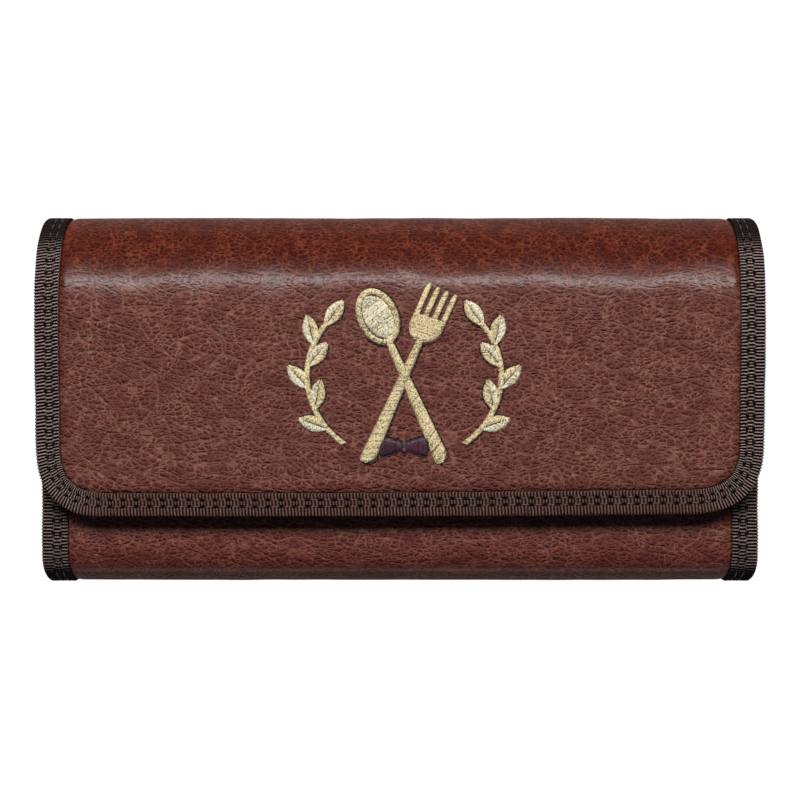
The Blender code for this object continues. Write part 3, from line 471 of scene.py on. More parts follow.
def leather_surface():
    """Pull-up leather: dark pebbles between paler creases, more marked in patches of wear; darker and redder
    on the rolls and along the tapes, as painted shade.
    """
    m = Surface("grained_leather")
    m.set("Specular IOR Level", 0.04)
    m.set("Coat Weight", 0.26)
    m.set("Coat Roughness", 0.21)
    place = m.vector("MULTIPLY", m.attribute("place", "Vector"), (1 / MM, 1 / MM, 1 / MM))
    _, s, beyond = m.split(place)
    bent = place
    for scale, reach in ((0.075, (1.2, 4.0, 0.0)), (0.7, (0.5, 0.5, 0.0))):
        shift = m.vector("SUBTRACT", m.noise(place, scale, 1.0, output=1), (0.5, 0.5, 0.5))
        bent = m.vector("ADD", bent, m.vector("MULTIPLY", shift, reach))
    wear_and_light = m.noise(place, 0.16)
    mottle = m.noise(place, 0.9, 3.0)
    pebble = m.creases(bent, 2, (0.52, 0.94, 0.0))
    wrinkle = m.creases(bent, -12, (0.11, 0.30, 0.0))
    speck = m.creases(place, 20, (1.2, 1.6, 0.0))
    line = m.range(pebble, 0.0, m.range(wear_and_light, 0.3, 0.7, 0.10, 0.17), 0.95, 0.0)
    line = m.math("MULTIPLY", line, m.range(wear_and_light, 0.30, 0.62, 0.50, 0.95))
    fold = m.range(wrinkle, 0.0, 0.045, 0.7, 0.0)
    fine = m.math("MULTIPLY", m.range(speck, 0.0, 0.25, 1.0, 0.0), 0.30)
    net = m.math("MAXIMUM", line, m.math("MAXIMUM", fold, fine))
    grain = m.range(mottle, 0.34, 0.66)

    def toned(tones):
        """Mottled pebbles and creases in four tones."""
        return m.mix(net, m.mix(grain, *tones[:2]), m.mix(grain, *tones[2:]))

    def over(*ends):
        """1 over a stretch of s, from both ends of its rise and of its fall."""
        up_start, up_end, down_start, down_end = (end / MM for end in ends)
        return m.math("MULTIPLY", m.range(s, up_start, up_end), m.range(s, down_start, down_end, 1.0, 0.0))

    # Painted shade: the top roll and the bottom roll take darker, redder tones, for the light and sheen they
    # show less of.
    top_roll_shade = over(BACK_END, ROLL_MIDDLE, ROLL_END, FLAT_START)
    bottom_roll_shade = over(FRONT_END - 8 * MM, FRONT_END + 4 * MM, WALL_END, BACK_START)
    colour = m.mix(top_roll_shade, toned(LEATHER_FLAT), toned(LEATHER_TOP_SHADED))
    colour = m.mix(bottom_roll_shade, colour, toned(LEATHER_BOTTOM_SHADED))
    # Painted shade: redder within 4 mm of the tapes, where the leather slopes down under them and shows no
    # sheen.
    edge = m.math("MULTIPLY", m.range(beyond, 0.0, 4.0, 1.0, 0.0), 0.34)
    colour = m.mix(edge, colour, (0.110, 0.016, 0.008))
    # Painted shadow: near black within half a millimetre of the tapes, in the gap beside their inner edge.
    colour = m.mix(m.range(beyond, 0.05, 0.5, 0.85, 0.0), colour, (0.012, 0.003, 0.003))
    m.set("Base Color", colour)
    m.set("Roughness", m.range(mottle, 0.3, 0.75, 0.40, 0.56))
    mound = m.math("MULTIPLY_ADD", m.range(speck, 0.0, 0.4), 0.25, m.range(pebble, 0.0, 0.42))
    mound = m.math("MULTIPLY_ADD", m.range(wrinkle, 0.0, 0.12), 0.8, mound)
    m.set("Normal", m.bump(mound, 0.24 * MM))
    m.set("Coat Normal", m.bump(mound, 0.014 * MM))
    return m.material


def tape_surface():
    """Grosgrain binding tape: brown ribs over dark gaps, with near-black stitch holes as painted shade.
    Upright tapes get painted light, with lighter, thinner rib tops and blacker gaps, and painted shade
    darkens the tapes on the rolls and the front.
    """
    m = Surface("ribbed_tape", 0.62)
    place = m.attribute("place", "Vector")
    turn = m.math("MULTIPLY", m.split(place)[0], 2 * math.pi / RIB_PITCH)
    rib = m.math("MULTIPLY_ADD", m.math("COSINE", turn), 0.5, 0.5)
    grain = m.noise(m.vector("MULTIPLY", place, (900.0, 3600.0, 0.0)), 1.0, 3.0)
    # Painted light: upright is 1 on tapes that run up the sides, whose ribs get lighter, thinner tops and
    # blacker gaps as if lit across; level tapes keep ribs lit along their length.
    upright = m.attribute("upright")
    grain_share = m.range(grain, 0.3, 0.7)
    rib_top_lit_along = m.mix(grain_share, (0.105, 0.047, 0.040), (0.240, 0.140, 0.118))
    rib_top_lit_across = m.mix(grain_share, (0.21, 0.130, 0.110), (0.56, 0.430, 0.385))
    top = m.mix(upright, rib_top_lit_along, rib_top_lit_across)
    patches = m.range(m.noise(place, 160.0), 0.35, 0.7, 0.0, 0.4)
    top = m.mix(patches, top, m.mix(0.5, top, (0.05, 0.025, 0.02)))
    # Painted shade: rib tops go near black where the tape's lit share is low.
    painted_shade_share = m.math("MULTIPLY_ADD", m.attribute("wear_and_light"), -0.95, 0.95)
    top = m.mix(painted_shade_share, top, (0.010, 0.007, 0.006))
    gap = m.mix(upright, (0.016, 0.005, 0.004), (0.002, 0.001, 0.001))
    rise_start = m.range(upright, 0.0, 1.0, 0.22, 0.58)
    rise = m.range(rib, rise_start, m.range(upright, 0.0, 1.0, 0.85, 0.94))
    # Painted shade: near black in the stitch holes.
    hole = m.range(m.attribute("hole"), 0.30, 0.55)
    m.set("Base Color", m.mix(hole, m.mix(rise, gap, top), (0.001, 0.001, 0.001)))
    m.set("Specular IOR Level", 0.06)
    m.set("Normal", m.bump(grain, 0.04 * MM))
    return m.material


def stitch_surface():
    """Brown polyester sewing thread with the twist of its plies, with painted shade where it dives into its
    holes.
    """
    m = Surface("sewing_thread", 0.45)
    place = m.attribute("place", "Vector")
    twist = m.node("TexWave", place, bands_direction="DIAGONAL")
    twist.inputs["Scale"].default_value = 900.0
    shade = twist.outputs["Fac"]
    thread = m.mix(shade, (0.045, 0.023, 0.016), (0.135, 0.087, 0.064))
    along = m.math("ABSOLUTE", m.split(place)[0])
    ends = [STITCH_PITCH / 2 - HOLE_LENGTH * share for share in (0.75, 0.35)]
    # Painted shade: near black at both ends, where the thread dives into the holes.
    m.set("Base Color", m.mix(m.range(along, *ends), thread, (0.002, 0.001, 0.001)))
    m.set("Normal", m.bump(shade, 0.05 * MM))
    return m.material


def thread_surface(name, dark, light):
    """Embroidery thread: each thread has a tone of its own, with flecks of sheen along it."""
    m = Surface(name, 0.40)
    fleck = m.noise(m.node("TexCoord").outputs["Object"], 2400.0, 3.0)
    shade = m.math("MULTIPLY_ADD", fleck, 3.8, m.math("SUBTRACT", m.attribute("tone"), 1.78))
    m.set("Base Color", m.mix(m.math("MAXIMUM", shade, 0.0, clamp=True), dark, light))
    m.set("Normal", m.bump(fleck, 0.04 * MM))
    return m.material


def nylon_surface():
    """Black-brown nylon lining in a plain weave."""
    m = Surface("nylon_lining", 0.6)
    place = m.attribute("place", "Vector")
    turns = [m.math("MULTIPLY", x, 2 * math.pi / WEAVE_PITCH) for x in m.split(place)[:2]]
    crossing = m.math("MULTIPLY", *(m.math("SINE", turn) for turn in turns))
    weave = m.math("MULTIPLY_ADD", crossing, 0.5, 0.5)
    patches = m.noise(place, 90.0, 3.0)
    base = m.mix(patches, (0.020, 0.013, 0.011), (0.040, 0.026, 0.022))
    m.set("Base Color", m.mix(weave, (0.010, 0.006, 0.005), base))
    m.set("Roughness", m.range(patches, 0.3, 0.7, 0.5, 0.68))
    m.set("Normal", m.bump(weave, 0.06 * MM))
    return m.material


def plain_surface(name, colour, roughness, metallic=0.0):
    """A plain material with a slight change of tone over it."""
    m = Surface(name, roughness, metallic)
    tone = m.noise(m.node("TexCoord").outputs["Object"], 900.0, 3.0)
    m.set("Base Color", m.mix(tone, [0.6 * c for c in colour], colour))
    return m.material


LEATHER = leather_surface()
TAPE = tape_surface()
STITCH = stitch_surface()
GOLD = thread_surface("gold_thread", (0.16, 0.095, 0.030), (0.97, 0.81, 0.47))
CREAM = thread_surface("cream_thread", (0.24, 0.18, 0.09), (0.99, 0.92, 0.67))
PLUM = thread_surface("plum_thread", (0.012, 0.004, 0.008), (0.110, 0.038, 0.060))
OUTLINE = thread_surface("outline_thread", (0.004, 0.003, 0.004), (0.022, 0.016, 0.016))
NYLON = nylon_surface()
FOAM = plain_surface("foam_padding", (0.10, 0.09, 0.08), 0.9)
ZIP_CLOTH = plain_surface("zip_tape_cloth", (0.018, 0.012, 0.010), 0.8)
CLOSURE = plain_surface("closure_cloth", (0.016, 0.010, 0.009), 0.85)
BOARD = plain_surface("grey_board", (0.16, 0.13, 0.10), 0.85)
TOOTH = plain_surface("zip_nylon", (0.022, 0.015, 0.013), 0.35)
BRASS = plain_surface("aged_brass", (0.52, 0.36, 0.16), 0.32, metallic=1.0)
PILE = plain_surface("closure_pile", (0.030, 0.020, 0.017), 0.5)

FOLD_REACH = 6.0 * MM


def fold_across(joint_name, direction):
    """Where a piece starts and ends to turn at a joint, along a direction (y, z)."""
    joint = next(j for j in frame["joints"] if j["name"] == joint_name)
    middle = np.array(joint["pos_m"], float)
    reach = np.array((0.0, *direction)) * FOLD_REACH / np.linalg.norm(direction)
    return joint["parent"], joint["child"], middle - reach, middle + reach


# The folds by name, as (body, body, start, end)
FOLDS = {
    "back": fold_across("spine_fold", (1, 1)),
    "flap": fold_across("flap_fold", (-1, 1)),
    "front": ("back", "front", (0, 0, FRONT_CORNER_Z), (0, 0, FRONT_Z - 2.8 * MM)),
    "bellows": ("back", "front", (0, 0, low("gusset_left").z), (0, 0, high("gusset_left").z)),
}


def dress(obj, surface, slot, fold=None, body=None, stands_for=()):
    """Gives a piece its material, hides the frame's pieces it stands for, and hangs it on a body; a piece at
    a fold only has its transform baked.
    """
    obj.data.materials.append(surface)
    if stands_for:
        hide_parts(*stands_for)
    if fold:
        first, second, start, end = FOLDS[fold]
        tuple(start)
        tuple(end)
        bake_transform(obj)
    else:
        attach(obj, body)
    return obj


def corner_half(s, inset=0.0):
    """Half the flap's width at s at full width, with its outline moved in."""
    wide, tall = CORNER_WIDTH - inset, CORNER_HEIGHT - inset
    half = FLAP_HALF - inset
    down = np.clip((s - (FLAP_END - inset - tall)) / tall, 0, 1)
    across = (1 - down**CORNER_FULLNESS) ** (1 / CORNER_FULLNESS)
    return half - wide + wide * across


def skew(x, s):
    """The flap hangs a little lower on its left: how far a place moves up along s."""
    share = smooth((s - FLAT_START) / (FLAP_END - FLAT_START))
    return share * (FLAP_SAG - FLAP_SKEW * smooth((x + 0.4 * FLAP_HALF) / (1.6 * FLAP_HALF)))


def on_cover_edge(x, s, depth):
    """Places on the cover for a tape, with the flap's small skew."""
    return on_cover(x, s + skew(x, s), depth)


def corner_strip(x, s):
    """x of a place on the flap, brought in along the round corners."""
    return x * corner_half(s, RIM_DEPTH) / (FLAP_HALF - RIM_DEPTH)


def place_in_corners(x, s, depth):
    return on_cover_edge(corner_strip(x, s), s, depth)


def flap_edge():
    """The flap's edge from the left roll to the right, as dense x, s and inward x, s."""
    t = np.linspace(0, 1, 160)
    angle = t * math.pi / 2
    power = 2 / CORNER_FULLNESS
    across = CORNER_WIDTH * (1 - np.abs(np.cos(angle)) ** power)
    down = CORNER_HEIGHT * (1 - np.sin(angle) ** power)
    side = np.stack((0 * t - FLAP_HALF, ROLL_MIDDLE + (CORNER_START - ROLL_MIDDLE) * t), -1)
    corner = np.stack((across - FLAP_HALF, FLAP_END - down), -1)
    left = np.vstack((side, corner[1:]))
    line = np.vstack((left, left[::-1] * (-1, 1)))
    length = lengths_along(line)
    even = np.linspace(0, length[-1], 3000)
    line = points_at(line, length, even)
    way = unit(np.gradient(line, axis=0))
    return np.hstack((line, way[:, 1:], -way[:, :1])), even


def edge_reader(line, length):
    """A function from lengths along an edge to x, s, inward x and inward s there."""
    return lambda u: [np.interp(u, length, column) for column in line.T]


def side_reader(side):
    """The same for a straight side edge, whose length is s itself."""
    return lambda u: [side * FLAP_HALF + 0 * u, u, -side + 0 * u, 0 * u]


def tape_section(width, back, rows, rounding):
    """A folded tape's section: rows of inset, depth, outward inset, outward depth and rib share."""
    thick = TAPE_THICKNESS
    step = 0.35 * MM
    grooves = [row + x for row in rows for x in (-step, 0.0, step)]
    between = [(a + b) / 2 for a, b in zip(rows, rows[1:])]
    spread_out = [rounding + (rows[0] - step - rounding) * x for x in (0.33, 0.67)]
    leg = sorted({width, width - 0.25 * MM, (rows[-1] + width) / 2, *grooves, *between, *spread_out})
    section = [(inset, 0.0, 0.0, -1.0, 1.0) for inset in leg[::-1]]
    section[0] = (width, 0.25 * thick, 0.7, -0.7, 0.3)
    for angle in np.radians((0, 30, 60, 90)):
        out = (-math.sin(angle), -math.cos(angle))
        section.append((rounding * (1 + out[0]), rounding * (1 + out[1]), *out, 1.0))
    section.append((0.0, back / 2, -1.0, 0.0, 1.0))
    for angle in np.radians((0, 45, 90)):
        out = (-math.cos(angle), math.sin(angle))
        section.append((rounding * (1 + out[0]), back - rounding * (1 - out[1]), *out, 1.0))
    leg = sorted({1.8 * MM, *rows, *between, (rows[-1] + width) / 2})
    section += [(inset, back, 0.0, 1.0, 1.0) for inset in leg]
    section.append((width, back - 0.25 * thick, 0.7, 0.7, 0.3))
    section += [(width, back - thick, 0.0, 0.0, 0.0), (thick, back - thick, 0.0, 0.0, 0.0)]
    section += [(thick, thick, 0.0, 0.0, 0.0), (width, thick, 0.0, 0.0, 0.0)]
    return np.array(section)


def band_shift(inset, rows):
    """How far the ribs of each band beside the stitch rows have slipped along the tape."""
    shift = 0.0
    for row, before, after in zip(rows, BAND_SHIFTS, BAND_SHIFTS[1:]):
        shift = shift + (after - before) * smooth((inset - row + BAND_BLEND / 2) / BAND_BLEND)
    return shift


def even_pitch(start, end):
    """The stitch pitch nearest the usual one that fills a length."""
    return (end - start) / max(round((end - start) / STITCH_PITCH), 1)


def tape(name, reader, start, end, phase, section, place, rows, slant):
    """A ribbed tape folded over an edge, from start to end along it."""
    steps = np.arange(math.ceil((end - start) / (RIB_PITCH / RIB_STEPS)) + 1)
    u = np.minimum(start + steps * RIB_PITCH / RIB_STEPS, end)[:, None]
    inset, depth, out_inset, out_depth, share = section.T
    rib = 0.5 + 0.5 * np.cos(2 * math.pi * (u - phase) / RIB_PITCH)
    pitch = even_pitch(start, end)
    off = (u - start + pitch / 2) % pitch - pitch / 2
    on_face = np.abs(out_depth) == 1
    groove, hole, pinch = 0.0, 0.0, 0.0
    for row in rows:
        beside = inset - row
        groove = groove + np.exp(-((beside / GROOVE_WIDTH) ** 2)) * on_face
        in_hole = np.exp(-((beside / HOLE_WIDTH) ** 4) - (off / (HOLE_LENGTH / 2)) ** 4)
        hole = np.maximum(hole, in_hole * on_face)
        reach = np.exp(-((beside / PINCH_WIDTH) ** 2))
        pinch = pinch - PINCH * np.sin(2 * math.pi * off / pitch) * reach
    pull = 0.5 + 0.5 * np.cos(2 * math.pi * off / pitch)
    lift = share * RIB_HEIGHT * (rib - 0.6) * (1 - 0.5 * groove) - groove * GROOVE_DEPTH * pull
    slip = band_shift(inset, rows) + pinch - slant * (1 + reader(u)[2]) * inset
    x, s, in_x, in_s = reader(np.clip(u + slip * share, start, end))
    width = tape_share(s) if place is on_cover_edge else 1.0
    wobble = TAPE_WOBBLE * waves(u, 0 * u, 9 * MM, 3)
    inward = inset * width + lift * out_inset + wobble
    points = place(x + in_x * inward, s + in_s * inward, depth + lift * out_depth)
    count = len(section)
    faces = grid_faces(len(steps), count, wrap=True)
    caps = (np.arange(count)[::-1], (len(steps) - 1) * count + np.arange(count))
    lean = np.abs(np.interp(s, PROFILE_S, PROFILE[:, 2])) if place is on_cover_edge else 0 * s
    told = np.stack(np.broadcast_arrays(u - phase, lengths_along(section[:, :2]), 0.0), -1)
    # The tape's lit share: painted shade where it turns sideways over the rolls, and on the front tapes.
    wear_and_light = (1 - smooth((lean - 0.35) / 0.35)) * np.where(s < WALL_SEAM, FRONT_TAPE_LIT_SHARE, 1.0)
    # upright: 1 where a tape runs up a side, where its material paints light across the ribs
    marks = {"wear_and_light": wear_and_light, "hole": hole, "upright": np.abs(in_x)}
    marks = {mark: np.broadcast_to(values, told.shape[:2]).ravel() for mark, values in marks.items()}
    return make_mesh(name, points.reshape(-1, 3), faces, caps, place=told.reshape(-1, 3), **marks)


def stitches(name, reader, start, end, place, rows, back):
    """The rows of sewing stitches on each face of a tape, diving into a hole at both ends."""
    lines, ups = [], []
    pitch = even_pitch(start, end)
    middle = np.arange(start + pitch / 2, end, pitch)
    t = np.linspace(-1, 1, 9)
    for row in rows:
        for face, out in ((0.0, -1.0), (back, 1.0)):
            slant = rng.normal(0, STITCH_LEAN, (len(middle), 1)) * t
            u = np.clip(middle[:, None] + t * pitch / 2, start, end)
            sink = -STITCH_RISE + STITCH_DIVE * np.abs(t) ** 5
            x, s, in_x, in_s = reader(u)
            width = tape_share(s) if place is on_cover_edge else 1.0
            inset = row * width + slant
            at = [place(x + in_x * inset, s + in_s * inset, face - out * d) for d in (sink, sink - 1 * MM)]
            lines.append(at[0])
            ups.append(at[1] - at[0])
    lines, ups = np.vstack(lines), np.vstack(ups)
    radius = STITCH_RADIUS * (1 - 0.3 * np.abs(t) ** 3)
    where = np.zeros_like(lines)
    where[..., 0] = t * pitch / 2
    return tubes(name, lines, radius, ups, sides=8, place=where)


def edge_gap(x, s, line):
    """The distance of each place from the flap's edge."""
    line = line[::12, :2]
    gap = np.full(x.shape, 1.0)
    for start, end in zip(line, line[1:]):
        way = end - start
        t = np.clip(((x - start[0]) * way[0] + (s - start[1]) * way[1]) / (way @ way), 0, 1)
        gap = np.minimum(gap, np.hypot(x - start[0] - t * way[0], s - start[1] - t * way[1]))
    return gap


def leather_columns():
    """Columns of a leather strip, closer together where it rises from under the tape."""
    ramp = FLAP_HALF - TAPE_WIDTH - PAD_RAMP - 0.4 * MM
    rise = np.linspace(ramp, FLAP_HALF - RIM_DEPTH, 16)[1:]
    return np.concatenate((-rise[::-1], row_steps(-ramp, ramp), rise))


def leather_depth(x, s, beyond):
    """The outer face of the leather: pressed under the tape, puffed and uneven inside it."""
    sunk = smooth((s - STRIP_END) / (6 * MM)) * (1 - smooth((s - FRONT_END) / (WALL_END - FRONT_END)))
    rise = np.clip((beyond + 0.3 * MM) / PAD_RAMP, 0, 1)
    lift = (1 - (1 - rise) ** 3) * (1 - FRONT_SINK * sunk)
    crown = 0.12 * MM * smooth(beyond / (25 * MM))
    uneven = 0.07 * MM * waves(x, s, 26 * MM, 11) + 0.035 * MM * waves(x, s, 9 * MM, 12)
    return RIM_DEPTH * (1 - lift) - lift * (crown + uneven)


def leather(name, rows, place, beyond_at, columns):
    """A leather strip from its rows of s, with its face's normals read from the shape itself."""
    x, s = np.meshgrid(columns, rows)

    def face(x, s):
        return place(x, s, leather_depth(x, s, beyond_at(x, s)))

    outer = face(x, s)
    inner = place(x, s, leather_depth(x, s, beyond_at(x, s)) + LEATHER_THICKNESS)
    obj = shell(name, outer, inner, x, s, np.maximum(beyond_at(x, s), 0))
    step = 0.05 * MM
    normal = unit(np.cross(face(x, s + step) - outer, face(x + step, s) - outer)).reshape(-1, 3)
    mesh = obj.data
    loops = np.zeros(len(mesh.loops), np.int32)
    mesh.loops.foreach_get("vertex_index", loops)
    front = np.zeros(len(loops), bool)
    front[: 4 * (len(rows) - 1) * (len(columns) - 1)] = True
    given = np.zeros((len(loops), 3))
    given[front] = normal[loops[front]]
    mesh.normals_split_custom_set(given.tolist())
    return obj


def beyond_sides(x, s):
    """The distance of a place beyond the side tapes."""
    return FLAP_HALF - np.abs(x) - TAPE_WIDTH * tape_share(s)


def beyond_front_tapes(x, s):
    return np.minimum(beyond_sides(x, s), s - TAPE_WIDTH)


def row_steps(start, end, step=1.3 * MM):
    return np.linspace(start, end, round((end - start) / step) + 1)


def build_cover():
    """The leather in three strips that meet on the bottom wall and on the middle of the roll."""
    columns = leather_columns()
    top_rows = row_steps(RIM_DEPTH, 12 * MM, 0.5 * MM)
    front_rows = np.concatenate((top_rows[:-1], row_steps(12 * MM, WALL_SEAM)))
    back_rows = row_steps(WALL_SEAM, ROLL_MIDDLE)
    t = np.linspace(0, 1, 26)[1:]
    corner_rows = CORNER_START + (FLAP_END - RIM_DEPTH - CORNER_START) * (1 - (1 - t) ** 1.5)
    flap_rows = np.concatenate((row_steps(ROLL_MIDDLE, CORNER_START), corner_rows))
    line, _ = flap_edge()

    def beyond_flap_tape(x, s):
        return edge_gap(corner_strip(x, s), s, line) - TAPE_WIDTH * tape_share(s)

    for part, rows, place, beyond_at, nodes in (
        ("front", front_rows, on_cover, beyond_front_tapes, ["front_leather"]),
        ("back", back_rows, on_cover, beyond_sides, ["back_leather", "spine_leather"]),
        ("flap", flap_rows, place_in_corners, beyond_flap_tape, ["flap_leather"]),
    ):
        made = leather(f"{part}_cover_leather", rows, place, beyond_at, columns)
        dress(made, LEATHER, "leather", fold=part, stands_for=nodes)


def bind(name, reader, start, end, nodes, place=on_cover_edge, phase=0.0, leg=TAPE_WIDTH,
         back=TAPE_BACK_DEPTH, rows=STITCH_ROWS, rounding=0.7 * MM, slant=0.0, **where):
    section = tape_section(leg, back, rows, rounding)
    made = tape(name, reader, start, end, phase, section, place, rows, slant)
    sewn = stitches(name.replace("binding", "stitches"), reader, start, end, place, rows, back)
    dress(made, TAPE, "tape", stands_for=nodes, **where)
    dress(sewn, STITCH, "tape", **where)


def build_tapes():
    """The binding tapes round the cover's sides and the flap."""
    for side, name in ((-1, "left"), (1, "right")):
        reader = side_reader(side)
        for part, start, end, nodes in (
            ("front", 0.0, WALL_SEAM, [f"front_tape_{name}"]),
            ("back", WALL_SEAM, ROLL_MIDDLE, [f"back_tape_{name}", f"spine_tape_{name}"]),
        ):
            bind(f"{part}_binding_{name}", reader, start, end, nodes, phase=ROLL_MIDDLE, fold=part)
    line, length = flap_edge()
    reader = edge_reader(line, length)
    bind("flap_binding", reader, 0.0, length[-1], ["flap_tape"], slant=FLAP_RIB_SLANT, fold="flap")


def strip_sheet(name, rows, columns, depth, thickness, place):
    """A sheet that follows the cover's strip at one depth."""
    x, s = np.meshgrid(columns, rows)
    ripple = 0.04 * MM * waves(x, s, 22 * MM, 21)
    faces = [place(x, s, d + ripple) for d in (depth, depth + thickness)]
    return shell(name, *faces, x, s)


def build_layers():
    """Linings, and the foam between the leather and the boards."""
    half = FLAP_HALF - RIM_DEPTH
    columns = np.linspace(-half, half, 49)
    depth, face = LINING_DEPTHS
    corner_rows = row_steps(CORNER_START, FLAP_END - RIM_DEPTH, 1.0 * MM)
    flap_rows = np.concatenate((row_steps(ROLL_MIDDLE, CORNER_START, 2 * MM)[:-1], corner_rows))
    for part, rows, place, nodes in (
        ("front", row_steps(RIM_DEPTH, WALL_SEAM, 2 * MM), on_cover, ["front_lining"]),
        ("back", row_steps(WALL_SEAM, ROLL_MIDDLE, 2 * MM), on_cover, ["back_lining", "spine_lining"]),
        ("flap", flap_rows, place_in_corners, ["flap_lining"]),
    ):
        made = strip_sheet(f"{part}_nylon", rows, columns, depth, face - depth, place)
        dress(made, NYLON, "lining", fold=part, stands_for=nodes)
    half = FLAP_HALF - PADDING_INSET
    columns = np.linspace(-half, half, 31)
    depth, face = PADDING_DEPTHS
    for body, start, end in (
        ("front", PADDING_INSET, FRONT_END),
        ("back", BACK_START, BACK_END),
        ("flap", FLAT_START - 9 * MM, FLAP_END - PADDING_INSET),
    ):
        rows = row_steps(start, end, 3 * MM)
        made = strip_sheet(f"{body}_foam", rows, columns, depth, face - depth, on_cover)
        dress(made, FOAM, "padding", body=body, stands_for=[f"{body}_padding"])


def soft_bend(corners, rounding, steps=5):
    """A folded line through corners, its inner corners rounded, as dense points."""
    corners = np.array(corners, float)
    line = [corners[:1]]
    t = np.linspace(0, 1, steps)[:, None]
    for before, corner, after in zip(corners, corners[1:], corners[2:]):
        ways = np.array((before, after)) - corner
        reach = np.minimum(rounding, 0.48 * np.linalg.norm(ways, axis=1))[:, None]
        first, last = corner + unit(ways) * reach
        line.append((1 - t) ** 2 * first + 2 * t * (1 - t) * corner + t**2 * last)
    line = np.vstack((*line, corners[-1:]))
    length = lengths_along(line)
    even = np.linspace(0, length[-1], max(round(length[-1] / (0.8 * MM)), 12))
    even = np.unique(np.concatenate((even, length)))
    return points_at(line, length, even), even


def folded_sheet(name, corners, rounding, across, thickness, to_space, puff=0.0):
    """A sheet bent along a folded line and straight across it. to_space takes a, b and across."""
    line, length = soft_bend(corners, rounding)
    normal = unit(np.gradient(line, axis=0)[:, ::-1] * (-1, 1))
    where, along = np.meshgrid(across, length)
    uneven = puff * waves(where, along, 25 * MM, len(name))
    faces = []
    for side in (0.5, -0.5):
        off = side * thickness + uneven
        a, b = (line[:, i, None] + normal[:, i, None] * off for i in range(2))
        faces.append(to_space(a, b, where))
    return shell(name, *faces, where, along), (across[-1] - across[0], length[-1])


def corners_of(node, margin=0.0):
    """The two corners of a node's box, brought in all round."""
    first, last = (np.array(corner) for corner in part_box(node))
    return first + margin, last - margin


def build_pockets():
    """Bellows and coin purse with its zip tapes."""
    thin = GUSSET_THICKNESS
    edge = BODY_HALF - GUSSET_SEAM
    divider_ridge = high("divider_panel").x + RIDGE_REACH
    purse_ridge = high("coin_pouch").x + RIDGE_REACH
    purse_back, purse_front = low("coin_pouch").z, high("coin_pouch").z
    for side, name in ((-1, "left"), (1, "right")):

        def level(a, b, c, side=side):
            return np.stack((side * a, c, b), -1)

        first, last = corners_of(f"gusset_{name}", thin / 2)
        corners = (
            (edge, first[2]),
            (divider_ridge - FOLD_DEPTH, (first[2] + DIVIDER_Z) / 2),
            (divider_ridge, DIVIDER_Z),
            (divider_ridge - SLACK_FOLD_DEPTH, (DIVIDER_Z + purse_back) / 2),
            (purse_ridge, purse_back),
            (purse_ridge, purse_front),
            (purse_ridge - FOLD_DEPTH, (purse_front + last[2]) / 2),
            (edge, last[2]),
        )
        across = np.linspace(first[1], last[1], 24)
        made, flat = folded_sheet(f"bellows_{name}", corners, 0.9 * MM, across, thin, level)
        dress(made, NYLON, "lining", fold="bellows", stands_for=[f"gusset_{name}"])

        first, last = corners_of(f"coin_gusset_{name}", thin / 2)
        near, far = sorted((abs(first[0]), abs(last[0])))
        corners = ((far, first[2]), (near, (first[2] + last[2]) / 2), (far, last[2]))
        across = np.linspace(first[1], last[1], 14)
        made, _ = folded_sheet(f"purse_side_{name}", corners, 0.7 * MM, across, thin, level)
        dress(made, NYLON, "lining", body="coin_purse", stands_for=[f"coin_gusset_{name}"])

    def upright(a, b, c):
        return np.stack((c, a, b), -1)

    first, last = corners_of("coin_pouch", PURSE_WALL / 2)
    half, top = last[:2] + PURSE_WALL / 2
    corners = ((top, last[2]), (first[1], last[2]), (first[1], first[2]), (top, first[2]))
    across = np.linspace(-half, half, 60)
    pouch, flat = folded_sheet("coin_purse_pouch", corners, 2.0 * MM, across, PURSE_WALL, upright, 0.08 * MM)
    dress(pouch, NYLON, "lining", body="coin_purse", stands_for=["coin_pouch"])
    for name, side in (("back", -1), ("front", 1)):
        node = f"zip_tape_{name}"
        first, last = corners_of(node, TAPE_THICKNESS / 2)
        near, far = sorted((first[2], last[2]), key=lambda z: abs(z - PURSE_Z))
        near -= side * TAPE_THICKNESS / 2
        half = high(node).x
        corners = ((low(node).y, far), (last[1], far), (last[1], near))
        across = np.linspace(-half, half, 80)
        made, _ = folded_sheet(f"zip_binding_{name}", corners, 0.6 * MM, across, TAPE_THICKNESS, upright)
        dress(made, ZIP_CLOTH, "tape", body="coin_purse", stands_for=[node])


def build_divider():
    """The stiff divider and the tape over its top edge."""
    first, last = corners_of("divider_panel")
    corner = DIVIDER_CORNER
    round_rows = last[1] - corner * np.linspace(0.9, 0, 8) ** 2
    y = np.concatenate((np.linspace(first[1], last[1] - corner, 30), round_rows))
    up = np.clip((y - last[1] + corner) / corner, 0, 1)
    half = last[0] - corner + corner * np.sqrt(1 - up**2)
    x = half[:, None] * np.linspace(-1, 1, 60)
    y = y[:, None] + 0 * x
    bow = 0.06 * MM * waves(x, y, 40 * MM, 5)
    faces = [np.stack((x, y, z + bow), -1) for z in (last[2], first[2])]
    made = shell("divider_sheet", *faces, x, y)
    dress(made, NYLON, "lining", body="divider", stands_for=["divider_panel"])
    first, last = corners_of("divider_tape")

    def place(x, s, depth):
        return np.stack(np.broadcast_arrays(x, last[1] - s, last[2] - depth), -1)

    def reader(u):
        return [u - last[0], 0 * u, 0 * u, 1 + 0 * u]

    bind(
        "divider_binding", reader, 0.0, 2 * last[0], ["divider_tape"], place, leg=last[1] - first[1],
        back=last[2] - first[2], rows=DIVIDER_STITCH_ROWS, rounding=0.5 * MM, body="divider",
    )


def build_front_top():
    """The tape over the front panel's top edge, between the side tapes."""
    half = high("front_tape_top").x

    def reader(u):
        return [(u - half) / spread(0.0), 0 * u, 0 * u, 1 + 0 * u]

    bind("front_binding_top", reader, 0.0, 2 * half, ["front_tape_top"], on_cover, body="front")


